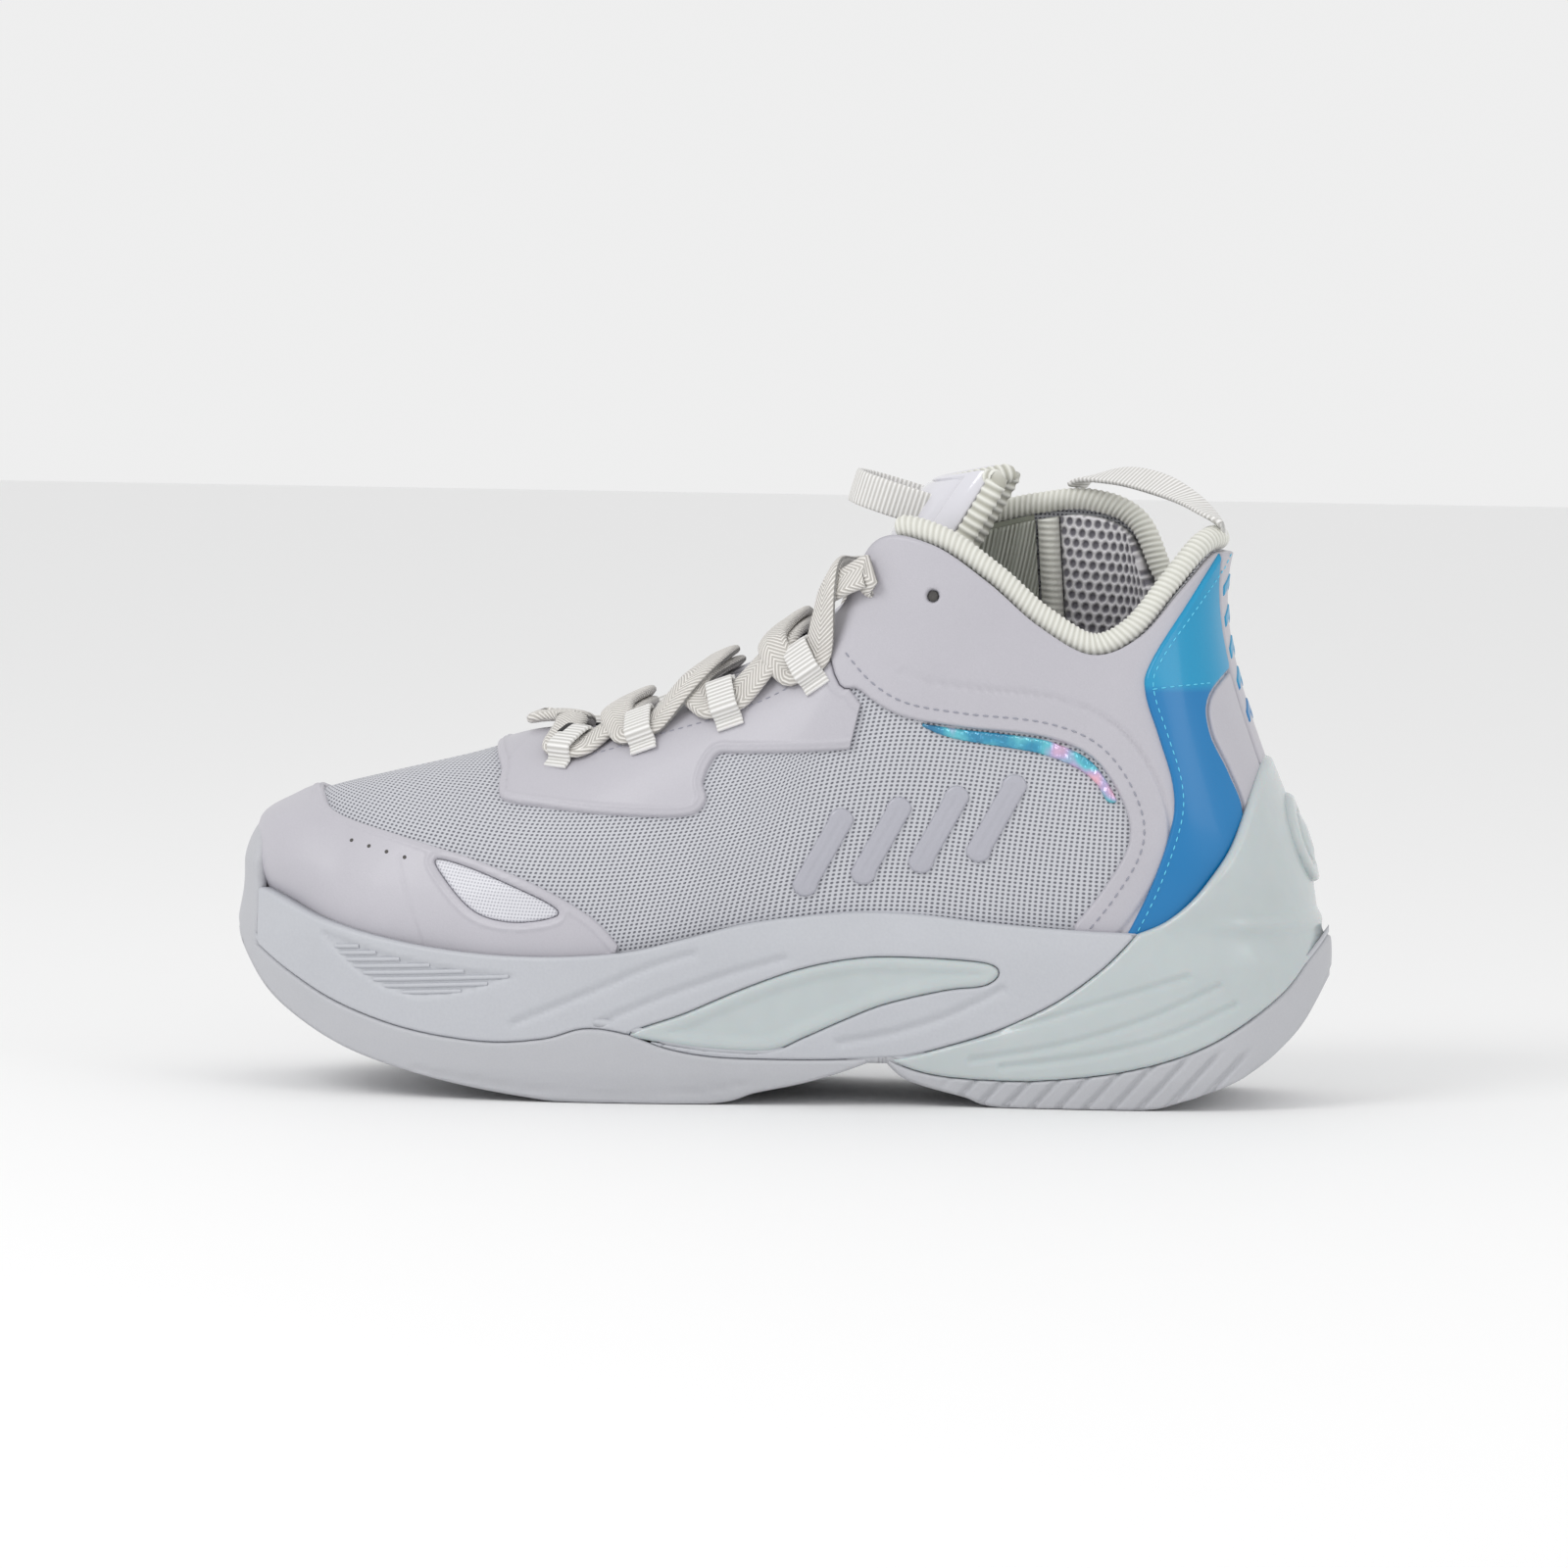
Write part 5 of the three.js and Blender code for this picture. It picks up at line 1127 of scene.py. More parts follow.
def inset(points: Array, by: float) -> Array:
    """An open side-view line moved sideways, to the left of its run where by is positive."""
    run = unit(np.gradient(points, axis=0))
    return points + by * np.stack([-run[:, 1], run[:, 0]], 1)


def groove(points: Array, lines: Sequence[Array], depth: float, half: float) -> Array:
    """How much lower a face lies near side-view lines.

    Args:
        points: the face's points.
        lines: open side-view lines.
        depth: the groove's depth.
        half: its half width.

    Returns:
        A depth for each point.
    """
    best = np.full(len(points), FAR)
    p = points[:, [0, 2]]
    for bent in lines:
        for a, b in zip(bent[:-1], bent[1:]):
            edge = b - a
            t = np.clip(((p - a) @ edge) / max((edge**2).sum(), 1e-9), 0, 1)
            best = np.minimum(best, np.linalg.norm(p - a - t[:, None] * edge, axis=1))
    return depth * (1 - ease(best / half))


def dress(obj: bpy.types.Object, body: str, slot: str, *nodes: str) -> bpy.types.Object:
    """Rides a finished piece on a body, hides the CAD nodes that it stands for, and reports it.

    Args:
        obj: the piece.
        body: the body that carries it.
        slot: the record's material slot.
        nodes: CAD nodes that it replaces.

    Returns:
        The piece.
    """
    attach(obj, body)
    finish_up(obj, slot, *nodes)
    return obj


def finish_up(obj: bpy.types.Object, slot: str, *nodes: str) -> None:
    """Hides the CAD nodes that a piece stands for, and reports it."""
    if nodes:
        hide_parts(*nodes)
    log.info("%s: %d faces", obj.name, len(obj.data.polygons))


# ---- Sole -----------------------------------------------------------------------------------
@dataclass
class SoleUnit:
    """Midsole, outsoles, arch inserts, heel cup and medallion."""

    last: Last
    wall: SoleWall = field(default_factory=SoleWall)
    skin: float = 4.0
    round_edge: float = 0.9
    rubber: float = 3.0
    rib_pitch: float = 1.75
    rib_count: int = 12
    panel_depth: float = 0.85
    tread_pitch: float = 6.5
    slash_pitch: float = 7.0
    cup_stand_off: float = 6.0
    guard_stand_off: float = 2.2
    medallion: float = 13.0

    def midsole(self) -> None:
        """The foam sidewall with its sculpted grooves, and the floor that closes it below."""
        outline = np.concatenate([line(RUBBER_TOP), line(CUP_FRONT), line(LIP)[::-1]])
        region = both(inside(outline), outside(inside(smooth(LEAF))), outside(inside(smooth(TOE_WRAP))))
        cuts = [line(pts) for pts in ([[-65, 20.6], [-45, 29.1], [-29.6, 36], [-18, 39.8]],
                                      [[-42.7, 21.1], [-25.3, 28.6], [-7.9, 34.8], [5.4, 38.6]],
                                      [[19.6, 16.6], [34, 19.5], [49.3, 24.8], [62, 31.5]])]
        panel = inside(smooth(RIB_PANEL))

        def front(d: Array, points: Array) -> Array:
            shoulder = edge_profile(-1.1, 0.0, self.round_edge)(d, points)
            return shoulder - groove(points, cuts, 0.9, 1.7) - self.panel_depth * ease(panel(points)[0])

        patch = Patch(self.wall, region, (0, LOOP, 620), (6, 53, 56), (0.3, 0.7, 1.1))
        patch.solid("midsole_sidewall", FOAM, front, -self.skin, "midsole_foam", "midsole")
        knots = np.concatenate([np.array(RUBBER_TOP), np.array(HEEL_RUBBER_TOP)])
        self.floor("midsole_floor", knots + [0, 1.2], 2.0, FOAM, "midsole_foam")


    def ribs(self) -> None:
        """Fine ribs across the sunk panel, rising gently towards the heel."""
        panel, rows = inside(smooth(RIB_PANEL)), []
        for _, lateral in SIDES:
            for k in range(self.rib_count):
                x = np.linspace(-120, -58, 90)
                z = 21 + self.rib_pitch * k + 0.06 * (x + 90)
                u = np.interp(-x, -self.wall.loop[: SIDE + 1, 0], np.arange(SIDE + 1))
                uv = np.stack([u if lateral else LOOP - u, z], 1)
                points = self.wall.at(uv, -self.panel_depth)
                keep = panel(points)[0] > 0.8
                if keep.sum() > 4:
                    rows.append(Route(points[keep], self.wall.outward(uv[keep])))
        lay("midsole_ribs", Row.RIB, rows, FOAM, "midsole_foam", 0.62)

    def floor(self, name: str, limit: Array, thick: float, finish: Finish, slot: str, tread: bool = False,
              span: tuple[float, float] = (0.0, float(SIDE))) -> None:
        """A sheet across the sole from one side wall to the other.

        Args:
            name: the piece's name.
            limit: its height along the shoe, as [x, z].
            thick: its thickness.
            finish: its finish.
            slot: the record's material slot.
            tread: whether its underside has a herringbone tread.
            span: its first and last station.
        """
        limit = limit[np.argsort(limit[:, 0])]
        rows, cols = 220, 72
        u = np.linspace(span[0] + 0.02, span[1] - 0.02, rows)
        x = spline(self.wall.loop, u, True)[:, 0]
        z = np.maximum(np.interp(x, limit[:, 0], limit[:, 1]), 0)
        ends = [self.wall.at(np.stack([s % LOOP, z], 1), -0.15)[:, None] for s in (u, LOOP - u)]
        t = np.linspace(0, 1, cols)[None, :, None]
        low = ends[0] * (1 - t) + ends[1] * t
        if tread:
            zig = low[..., 0] + 4.5 * np.abs(((low[..., 1] / 9) % 2) - 1)
            cut = bump_at((zig % self.tread_pitch) / self.tread_pitch, 0.5, 0.22) * ease((134 - low[..., 0]) / 8)
            low[..., 2] += 1.5 * cut * ease((1 - np.abs(2 * t[..., 0] - 1)) / 0.06)
        high = low.copy()
        high[..., 2] = z[:, None] + thick
        dress(loft(name, np.concatenate([low, high[:, ::-1]], 1), finish), ROOT, slot)

    def outsoles(self) -> None:
        """The forefoot rubber with its toe wrap, and the heel rubber with slanted ribs."""
        ground, top = line(GROUND_FRONT), line(RUBBER_TOP)
        welt = [line([[-92, 7.6], [-77, 5.4], [-58, 3.2], [-37, 2.6], [-17, 3.4], [-4, 6]])]

        def front(d: Array, points: Array) -> Array:
            return edge_profile(-0.9, 0.25, self.round_edge)(d, points) - groove(points, welt, 0.5, 0.8)

        tread = inside(np.concatenate([ground, top[::-1]]))
        fore = Patch(self.wall, tread, (4, 30, 480), (-1, 46, 44), (0.3, 0.9))
        fore.solid("forefoot_rubber_wall", RUBBER, front, -self.rubber, "outsole_rubber", "outsole_forefoot")
        face = WrapFace(self.last, self.wall, self.guard_stand_off, (52, 70), toe_fullness)
        wrap = both(inside(smooth(TOE_WRAP)), outside(below(ground)))
        guard = Patch(face, wrap, (13.5, 20.5, 150), (20, 73, 80), (0.4, 1.2, 2.4))
        guard.solid("toe_guard", RUBBER, edge_profile(-1.4, 0.3, 2.4), -2.8, "outsole_rubber")
        self.floor("forefoot_tread", ground, self.rubber, RUBBER, "outsole_rubber", True, (6.25, SIDE))

        def slashes(d: Array, points: Array) -> Array:
            x, z = points[:, 0], points[:, 2]
            wave = ((x - 0.9 * z + 60) % self.slash_pitch) / self.slash_pitch
            height = 13.5 - z + 0.06 * (x - 60)
            cut = bump_at(wave, 0.5, 0.24) * ease((x - 44) / 8) * ease(height / 4) * ease((134 - x) / 12)
            return edge_profile(-0.9, 0.2, self.round_edge)(d, points) - 1.1 * cut

        back = line(GROUND_BACK)
        heel = inside(np.concatenate([back, line(HEEL_RUBBER_TOP)[::-1]]))
        rear = Patch(self.wall, heel, (-7.2, 7.2, 560), (-1, 44, 80), (0.3, 0.9))
        rear.solid("heel_rubber_wall", RUBBER, slashes, -self.rubber, "outsole_rubber", "outsole_heel")
        self.floor("heel_tread", back, self.rubber, RUBBER, "outsole_rubber", True, (0, 7.15))

    def inserts(self) -> None:
        """The leaf-shaped inserts under the arch."""

        def front(d: Array, points: Array) -> Array:
            return edge_profile(-1.4, 0.2, 1.6)(d, points) - 0.7 * ease((d - 1.8) / 3)

        leaf = inside(smooth(LEAF))
        for side, lateral in SIDES:
            patch = Patch(self.wall, leaf, stations(lateral, 4.2, 12.5, 260), (12, 41, 44), (0.3, 0.8, 1.6, 3.0))
            patch.solid(f"arch_leaf_{side}", TPU, front, -self.skin, "clear_tpu", f"arch_insert_{side}")

    def cup(self) -> None:
        """The heel cup with its swept grooves, and the medallion on its back."""
        face = WrapFace(self.last, self.wall, self.cup_stand_off)
        outline = np.concatenate([line(CUP_FRONT), line(CUP_TOP)[1:], [[160, 93.5], [160, 60]],
                                  line(HEEL_RUBBER_TOP)[::-1]])
        cuts = [line(pts) for pts in ([[49, 17.5], [66, 21.5], [88, 28.5], [110, 35.5]],
                                      [[54, 12.5], [78, 17.2], [100, 24.5], [118, 33]],
                                      [[62, 11], [84, 14.2], [104, 19.5], [122, 28]])]

        def front(d: Array, points: Array) -> Array:
            fold = 0.8 * bump_at(points[:, 2], 48.5, 3.0) * ease((points[:, 0] - 112) / 14)
            return edge_profile(-1.3, 0.35, 1.4)(d, points) - groove(points, cuts, 0.7, 1.5) + fold

        patch = Patch(face, inside(outline), (-7.4, 7.4, 420), (6, 94, 124), (0.3, 0.9, 1.6))
        patch.solid("heel_cup_shell", TPU, front, -2.2, "clear_tpu", "heel_cup")
        spot = ball((140, 0, 71), self.medallion)
        disc = Patch(face, spot, (-2.4, 2.4, 110), (54, 88, 76), (0.5, 1.5, 3.0, 4.5, 6.0))

        def dome(d: Array, points: Array) -> Array:
            return edge_profile(0.2, 2.1, 1.4)(d, points) - 1.0 * bump_at(d, 5.2, 1.3) + 0.5 * ease((d - 6.5) / 5)

        disc.solid("heel_dome", TPU, dome, -0.6, "gloss_film", "heel_medallion")

    def build(self) -> None:
        """Makes the whole sole unit."""
        self.midsole()
        self.ribs()
        self.outsoles()
        self.inserts()
        self.cup()


# ---- Upper ----------------------------------------------------------------------------------
@dataclass
class Upper:
    """The mesh and everything fused or sewn on it."""

    last: Last
    gap: float = 0.3
    round_edge: float = 0.8
    bar_half: float = 3.4
    stay_half: float = 8.5

    def mesh(self) -> None:
        """The knitted mesh, from the board to the throat and collar."""
        patch = Patch(self.last, everywhere, (0, LOOP, 440), (0, 1, 72), ())
        patch.solid("mesh_upper", MESH, 0.0, -1.4, "upper_mesh", "upper_mesh", cloth=self.last.cloth)

    def overlay(self, name: str, region: Region, finish: "Finish | ShiftingFilm", slot: str, node: str,
                u: tuple[float, float, int], heights: tuple[float, float] = (0.0, 1.6), welt: float = 0.0,
                relief: Callable | None = None) -> None:
        """One fused overlay.

        Args:
            name: the piece's name.
            region: its outline.
            finish: its finish.
            slot: the record's slot.
            node: the CAD node that it replaces.
            u: first and last station, and how many steps.
            heights: how far its edge and its face stand off the mesh.
            welt: height of the raised line inside its edge.
            relief: from distances and points to extra height.
        """
        profile = edge_profile(*heights, self.round_edge, welt)

        def front(d: Array, points: Array) -> Array:
            return profile(d, points) + (0 if relief is None else relief(d, points))

        lines = (self.round_edge * 0.3, self.round_edge) + ((1.4, 2.0, 2.6, 3.2) if welt else ())
        patch = Patch(self.last, region, u, (0, 1, 90), lines)
        patch.solid(name, finish, front, min(heights[0], 0.0) - 0.05, slot, node, cloth=self.last.cloth)

    def sew(self, name: str, lines: Sequence[Array], lateral: bool, finish: Finish, slot: str, off: float,
            stitch: tuple[float, float, float]) -> None:
        """Stitches along side-view lines.

        Args:
            name: the piece's name.
            lines: the lines, as [x, z].
            lateral: which side they are on.
            finish: the thread.
            slot: the record's material slot.
            off: how far off the mesh they lie.
            stitch: width, length and pitch.
        """
        routes = [self.route(self.last.find(pts, lateral), off) for pts in lines]
        lay(name, Row.STITCH, routes, finish, slot, *stitch)

    def route(self, uv: Array, off: float) -> Route:
        """A route through places on the upper."""
        return Route(self.last.at(uv, off), self.last.outward(uv))

    def toe(self) -> None:
        """The toe cap, its window, and its four punched holes drawn as dark discs of painted shade."""
        cap = both(inside(smooth(TOE_CAP)), outside(inside(smooth(WINDOW))))
        seams = [line([[-98, 62], [-94.5, 51], [-90, 40]])]
        self.overlay("toe_cap_leather", cap, LEATHER, "synthetic_leather", "toe_cap", (10.4, 23.6, 420), welt=0.3,
                     relief=lambda d, p: toe_fullness(p) - groove(p, seams, 0.3, 0.6))
        for side, lateral in SIDES:
            self.overlay(f"toe_net_{side}", inside(smooth(WINDOW)), NET, "window_mesh", f"toe_window_{side}",
                         stations(lateral, 10.6, 16.4, 200), (0.2, 1.0))
            spots = np.array([[-111 + 5 * i, 65 - 1.15 * i] for i in range(4)], float)
            route = self.route(self.last.find(spots, lateral), 1.5)
            # Each punched hole is a dark disc of painted shade that stands for the shadow inside it.
            lay(f"toe_holes_{side}", Row.HOLE, [route], PAINTED_HOLE_SHADE, "synthetic_leather", 1.3, 0.5)

    def notches(self, lateral: bool) -> Region:
        """Everything but the slots that the lace loops come out of."""
        regions = []
        for row in LACE_ROWS:
            s = row[0] if lateral else LOOP - row[0]
            points = self.last.wall(np.array([[s, 0.97], [s, 0.91]]))
            regions += [outside(ball(p, 2.6)) for p in points]
        return both(*regions)

    def eyestays(self) -> None:
        """The eyestays, with a raised weld inside their edges."""
        for side, lateral in SIDES:
            region = both(inside(smooth(EYESTAY)), outside(inside(smooth(QUARTER))), self.notches(lateral))
            self.overlay(f"eyestay_leather_{side}", region, LEATHER, "synthetic_leather", f"eyestay_{side}",
                         stations(lateral, 7.6, 13.6, 260), welt=0.4)
            s = np.linspace(9.0, 12.5, 40)
            uv = np.stack([s if lateral else LOOP - s, np.full(len(s), 0.8)], 1)
            lay(f"eyestay_stitches_{side}", Row.STITCH, [self.route(uv, 1.66)], THREAD, "synthetic_leather",
                0.4, 1.5, 2.4)

    def quarters(self) -> None:
        """The ankle quarters with a sewn edge, an embossed line and one vent."""

        def relief(d: Array, points: Array) -> Array:
            return -0.6 * bump_at(d, 10.5, 1.0) * ease((points[:, 0] - 20) / 12) * ease((118 - points[:, 2]) / 8)

        sewn = inset(line(QUARTER[:10]), 3.6)[2:-2]
        for side, lateral in SIDES:
            vent = self.last.find(np.array([VENT]), lateral)
            region = both(inside(smooth(QUARTER)), outside(ball(self.last.wall(vent)[0], 1.6)),
                          one_side(lateral, 0.2))
            self.overlay(f"quarter_leather_{side}", region, LEATHER, "synthetic_leather", f"quarter_{side}",
                         stations(lateral, 0.0, 9.6, 420), relief=relief)
            self.sew(f"quarter_stitches_{side}", [sewn], lateral, THREAD, "synthetic_leather", 1.66, (0.5, 1.7, 2.6))
            # The vent's hole in the leather holds a dark disc of painted shade.
            lay(f"vent_{side}", Row.HOLE, [self.route(vent, 0.3)], PAINTED_HOLE_SHADE, "synthetic_leather", 3.0, 0.6)

    def heel(self) -> None:
        """The blue heel bands, the back stay with its generic chevrons, and their stitches."""
        lines = [inset(line(BAND[0:9]), 1.9)[2:-2], line([[99, 109.4], [104, 110], [109, 110.4], [111, 110.5]])]
        for side, lateral in SIDES:
            half = both(outside(across(self.stay_half + self.gap)), one_side(lateral, 0.2))
            region = both(inside(smooth(BAND)), half)
            self.overlay(f"heel_film_{side}", region, BLUE, "blue_film", f"heel_band_{side}",
                         stations(lateral, 0.0, 5.6, 260), (1.5, 2.9))
            rear = both(inside(smooth(HEEL_PANEL)), half)
            patch = Patch(self.last, rear, stations(lateral, 0.0, 3.6, 170), (0, 1, 90), (0.3, 0.8))
            patch.solid(f"heel_leather_{side}", LEATHER, edge_profile(1.5, 2.6, 0.8), 1.45, "synthetic_leather")
            self.sew(f"heel_stitches_{side}", lines, lateral, BLUE_THREAD, "blue_film", 2.95, (0.35, 1.5, 2.3))
        self.overlay("back_stay_leather", across(self.stay_half), LEATHER, "blue_film", "back_stay",
                     (-2.2, 2.2, 90), (1.5, 2.9))
        for k in range(5):
            z = 99 + 8.5 * k
            shape = [[-6.5, z], [0, z + 3.4], [6.5, z], [6.5, z + 3], [0, z + 6.4], [-6.5, z + 3]]
            patch = Patch(self.last, self.chevron(shape), (-1.6, 1.6, 70), (0.4, 1, 110), (0.3,))
            patch.solid(f"stay_chevron_{k + 1}", BLUE, edge_profile(2.9, 3.25, 0.3), 2.8, "blue_film")

    def chevron(self, shape: Sequence[Sequence[float]]) -> Region:
        """The region within an outline seen from behind, as [y, z]."""
        flat = inside(shape)

        def distance(points: Array) -> tuple[Array, Array]:
            swapped = points[:, [1, 0, 2]]
            d, g = flat(swapped)
            return np.where(points[:, 0] > 60, d, -9), g[:, [1, 0, 2]]

        return distance

    def trims(self) -> None:
        """The holographic piping under the quarter's edge, and the badge of four slanted bars."""

        def beads(d: Array, points: Array) -> Array:
            return 0.25 * np.cos(points[:, 0] * 2 * np.pi / 2.6) * ease(d / 0.8)

        for side, lateral in SIDES:
            self.overlay(f"piping_film_{side}", inside(smooth(PIPING)), ShiftingFilm(), "iridescent_film",
                         f"piping_{side}", stations(lateral, 1.4, 7.8, 300), (0.1, 1.1), relief=beads)
            for k in range(4):
                shape = self.pill(10 + 15 * k, 58 + 3.2 * k, 84 - 3.2 * (3 - k))
                nodes = (f"side_badge_{side}",) if k == 0 else ()
                patch = Patch(self.last, inside(shape), stations(lateral, 3.0, 9.5, 260), (0.08, 0.6, 80),
                              (0.25, 0.8))
                patch.solid(f"badge_bar_{side}_{k + 1}", BADGE, edge_profile(0.0, 1.0, 0.8, 0.2), -0.1,
                            "gloss_film", *nodes)

    def pill(self, x: float, low: float, high: float) -> Array:
        """A slanted bar with round ends, in the side view."""
        turn = np.linspace(0, np.pi, 9)
        ends = [[x + 9 + self.bar_half * np.cos(a), high + self.bar_half * np.sin(a)] for a in turn]
        ends += [[x + self.bar_half * np.cos(a + np.pi), low + self.bar_half * np.sin(a + np.pi)] for a in turn]
        return np.array(ends)

    def build(self) -> None:
        """Makes the whole upper."""
        self.mesh()
        self.toe()
        self.eyestays()
        self.quarters()
        self.heel()
        self.trims()


# ---- Collar ---------------------------------------------------------------------------------
@dataclass
class Collar:
    """Binding roll, ankle and heel pads, their bindings, the gores and the heel strap."""

    last: Last
    radius: float = 3.0
    lift: float = 2.9
    roll_pitch: float = 1.55
    pad_floor: float = 96.0
    pad_thick: float = 5.0
    pitch: float = 3.3
    lean: float = 0.06
    lean_from: float = 250.0

    def leaning(self, from_x: float, to_x: float) -> Region:
        """The region between two columns that lean with the collar."""

        def distance(points: Array) -> tuple[Array, Array]:
            x = points[:, 0] - (self.lean * (self.lean_from - points[:, 2]) - 2)
            low, high = x - from_x, to_x - x
            sign = np.where(low < high, 1.0, -1.0)
            return np.minimum(low, high), np.stack([sign, 0 * x, 0 * x], 1)

        return distance

    def roll(self) -> None:
        """The rib-knitted binding roll round the collar."""
        k = np.linspace(10, -10, 241)
        s = np.mod(k * 17 / 22, LOOP)
        ones = np.ones_like(s)
        run = unit(self.last.wall(np.stack([s + 0.1, ones], 1)) - self.last.wall(np.stack([s - 0.1, ones], 1)))
        climb = self.last.wall(np.stack([s, ones], 1)) - self.last.wall(np.stack([s, ones * 0.97], 1))
        up = unit(climb - run * (climb * run).sum(1)[:, None])
        centre = self.last.at(np.stack([s, ones], 1), -2.0) + up * self.lift
        walked = walk(centre)
        t = np.linspace(0, walked[-1], int(walked[-1] / 0.3))
        centre = np.stack([np.interp(t, walked, centre[:, i]) for i in range(3)], 1)
        up = unit(np.stack([np.interp(t, walked, up[:, i]) for i in range(3)], 1))
        run = unit(np.gradient(centre, axis=0))
        side = unit(np.cross(run, up))
        turn = np.linspace(0, 2 * np.pi, 33)[:-1]
        skew = t[:, None] + 0.6 * np.sin(turn)[None] * self.radius * 0.4
        rib = ripple(skew, self.roll_pitch)
        end = rounded(np.minimum(t, t[-1] - t) / 2.4)[:, None]
        size = (self.radius - 0.28 + 0.34 * rib + 0.12 * np.cos(t / 9)[:, None]) * np.maximum(end, 0.05)
        rings = centre[:, None] + size[..., None] * (np.cos(turn)[None, :, None] * side[:, None]
                                                     + np.sin(turn)[None, :, None] * up[:, None])
        shade = np.broadcast_to(0.35 + 0.65 * rib, size.shape)
        dress(loft("collar_roll", rings, KNIT, shade=shade), ROOT, "knit", "collar_binding")

    def pad(self, name: str, region: Region, u: tuple[float, float, int], node: str) -> None:
        """One crowned pad faced with spacer knit, whose openings are really sunk.

        Args:
            name: the piece's name.
            region: its outline.
            u: first and last station, and how many steps.
            node: the CAD node that it replaces.
        """
        patch = Patch(self.last, region, u, (0.4, 0.985, 150), (0.8, 2.0))
        cloth = self.last.cloth(patch.uv)
        row = np.floor(cloth[:, 1] / (self.pitch * 0.86))
        across_row = (cloth[:, 0] / self.pitch + 0.5 * (row % 2)) % 1 - 0.5
        up_row = cloth[:, 1] / (self.pitch * 0.86) - row - 0.5
        hole = ease((0.42 - np.hypot(across_row, up_row * 0.86)) / 0.16)

        def inner(d: Array, points: Array) -> Array:
            crown = self.pad_thick * rounded(d / 9) + 0.6 * ease(d / 20)
            return -1.9 - crown + 0.85 * hole * ease(d / 1.5)

        piece = patch.solid(name, SPACER, -1.7, inner, "honeycomb_knit", node, cloth=self.last.cloth,
                            shade=1 - hole)

    def pads(self) -> None:
        """The two ankle pads, the heel pad, and the bindings on their front edges."""
        for side, lateral in SIDES:
            region = both(self.leaning(66.0, FAR), past(0, -1.0, 103.5), past(2, 1.0, self.pad_floor),
                          one_side(lateral, 0.3))
            self.pad(f"ankle_pad_knit_{side}", region, stations(lateral, 1.5, 7.2, 230), f"ankle_pad_{side}")
            strip = both(self.leaning(59.9, 65.8), past(2, 1.0, self.pad_floor), one_side(lateral, 0.3))
            patch = Patch(self.last, strip, stations(lateral, 3.5, 8.0, 150), (0.4, 0.985, 130), (0.6, 1.4))
            rib = ripple(self.last.cloth(patch.uv)[:, 1], 1.7)
            inner = -2.2 - 4.6 * rounded(patch.d / 3) - 0.3 * rib
            patch.solid(f"pad_edge_{side}", KNIT, -1.8, inner, "knit", f"pad_binding_{side}",
                        shade=0.3 + 0.7 * rib)
        back = both(past(0, 1.0, 104.0), past(2, 1.0, self.pad_floor))
        self.pad("heel_pad_knit", back, (-3.4, 3.4, 200), "heel_pad")

    def gores(self) -> None:
        """The ribbed elastic gores between tongue and ankle pads."""
        for side, lateral in SIDES:
            region = both(self.leaning(44.0, 59.4), past(2, 1.0, 108.0), one_side(lateral, 0.3))
            patch = Patch(self.last, region, stations(lateral, 5.0, 9.6, 200), (0.4, 0.985, 60), (0.5,))
            inner = -3.7 - 0.5 * ripple(self.last.cloth(patch.uv)[:, 0], 1.6)
            patch.solid(f"gore_rib_{side}", GORE, -3.0, inner, "knit", f"gore_{side}", cloth=self.last.cloth)

    def strap(self) -> None:
        """The woven heel strap that stands up in an arch from the collar."""
        points = np.array([[115.6, -5.2, 150.4], [113, -3, 152.9], [106, 5, 157.8], [97, 13, 161.6], [87, 20.5, 163.4],
                           [77.5, 26.5, 162.4], [74.2, 28.6, 160.4]])
        face = unit(np.array([[0.6, 0.4, 0.7], [0.3, 0.2, 0.9], [0.2, -0.4, 0.9], [0.05, -0.75, 0.75], [0, -0.6, 0.85],
                              [0.0, -0.1, 0.95], [-0.3, 0.3, 0.9]]))
        strap = Strip(points, face, 8.0, 1.4, 2.0, 0.35)
        strap.build("heel_ribbon", WEBBING, "heel_strap", "webbing", "heel_strap")

    def build(self) -> None:
        """Makes the whole collar."""
        self.roll()
        self.pads()
        self.gores()
        self.strap()


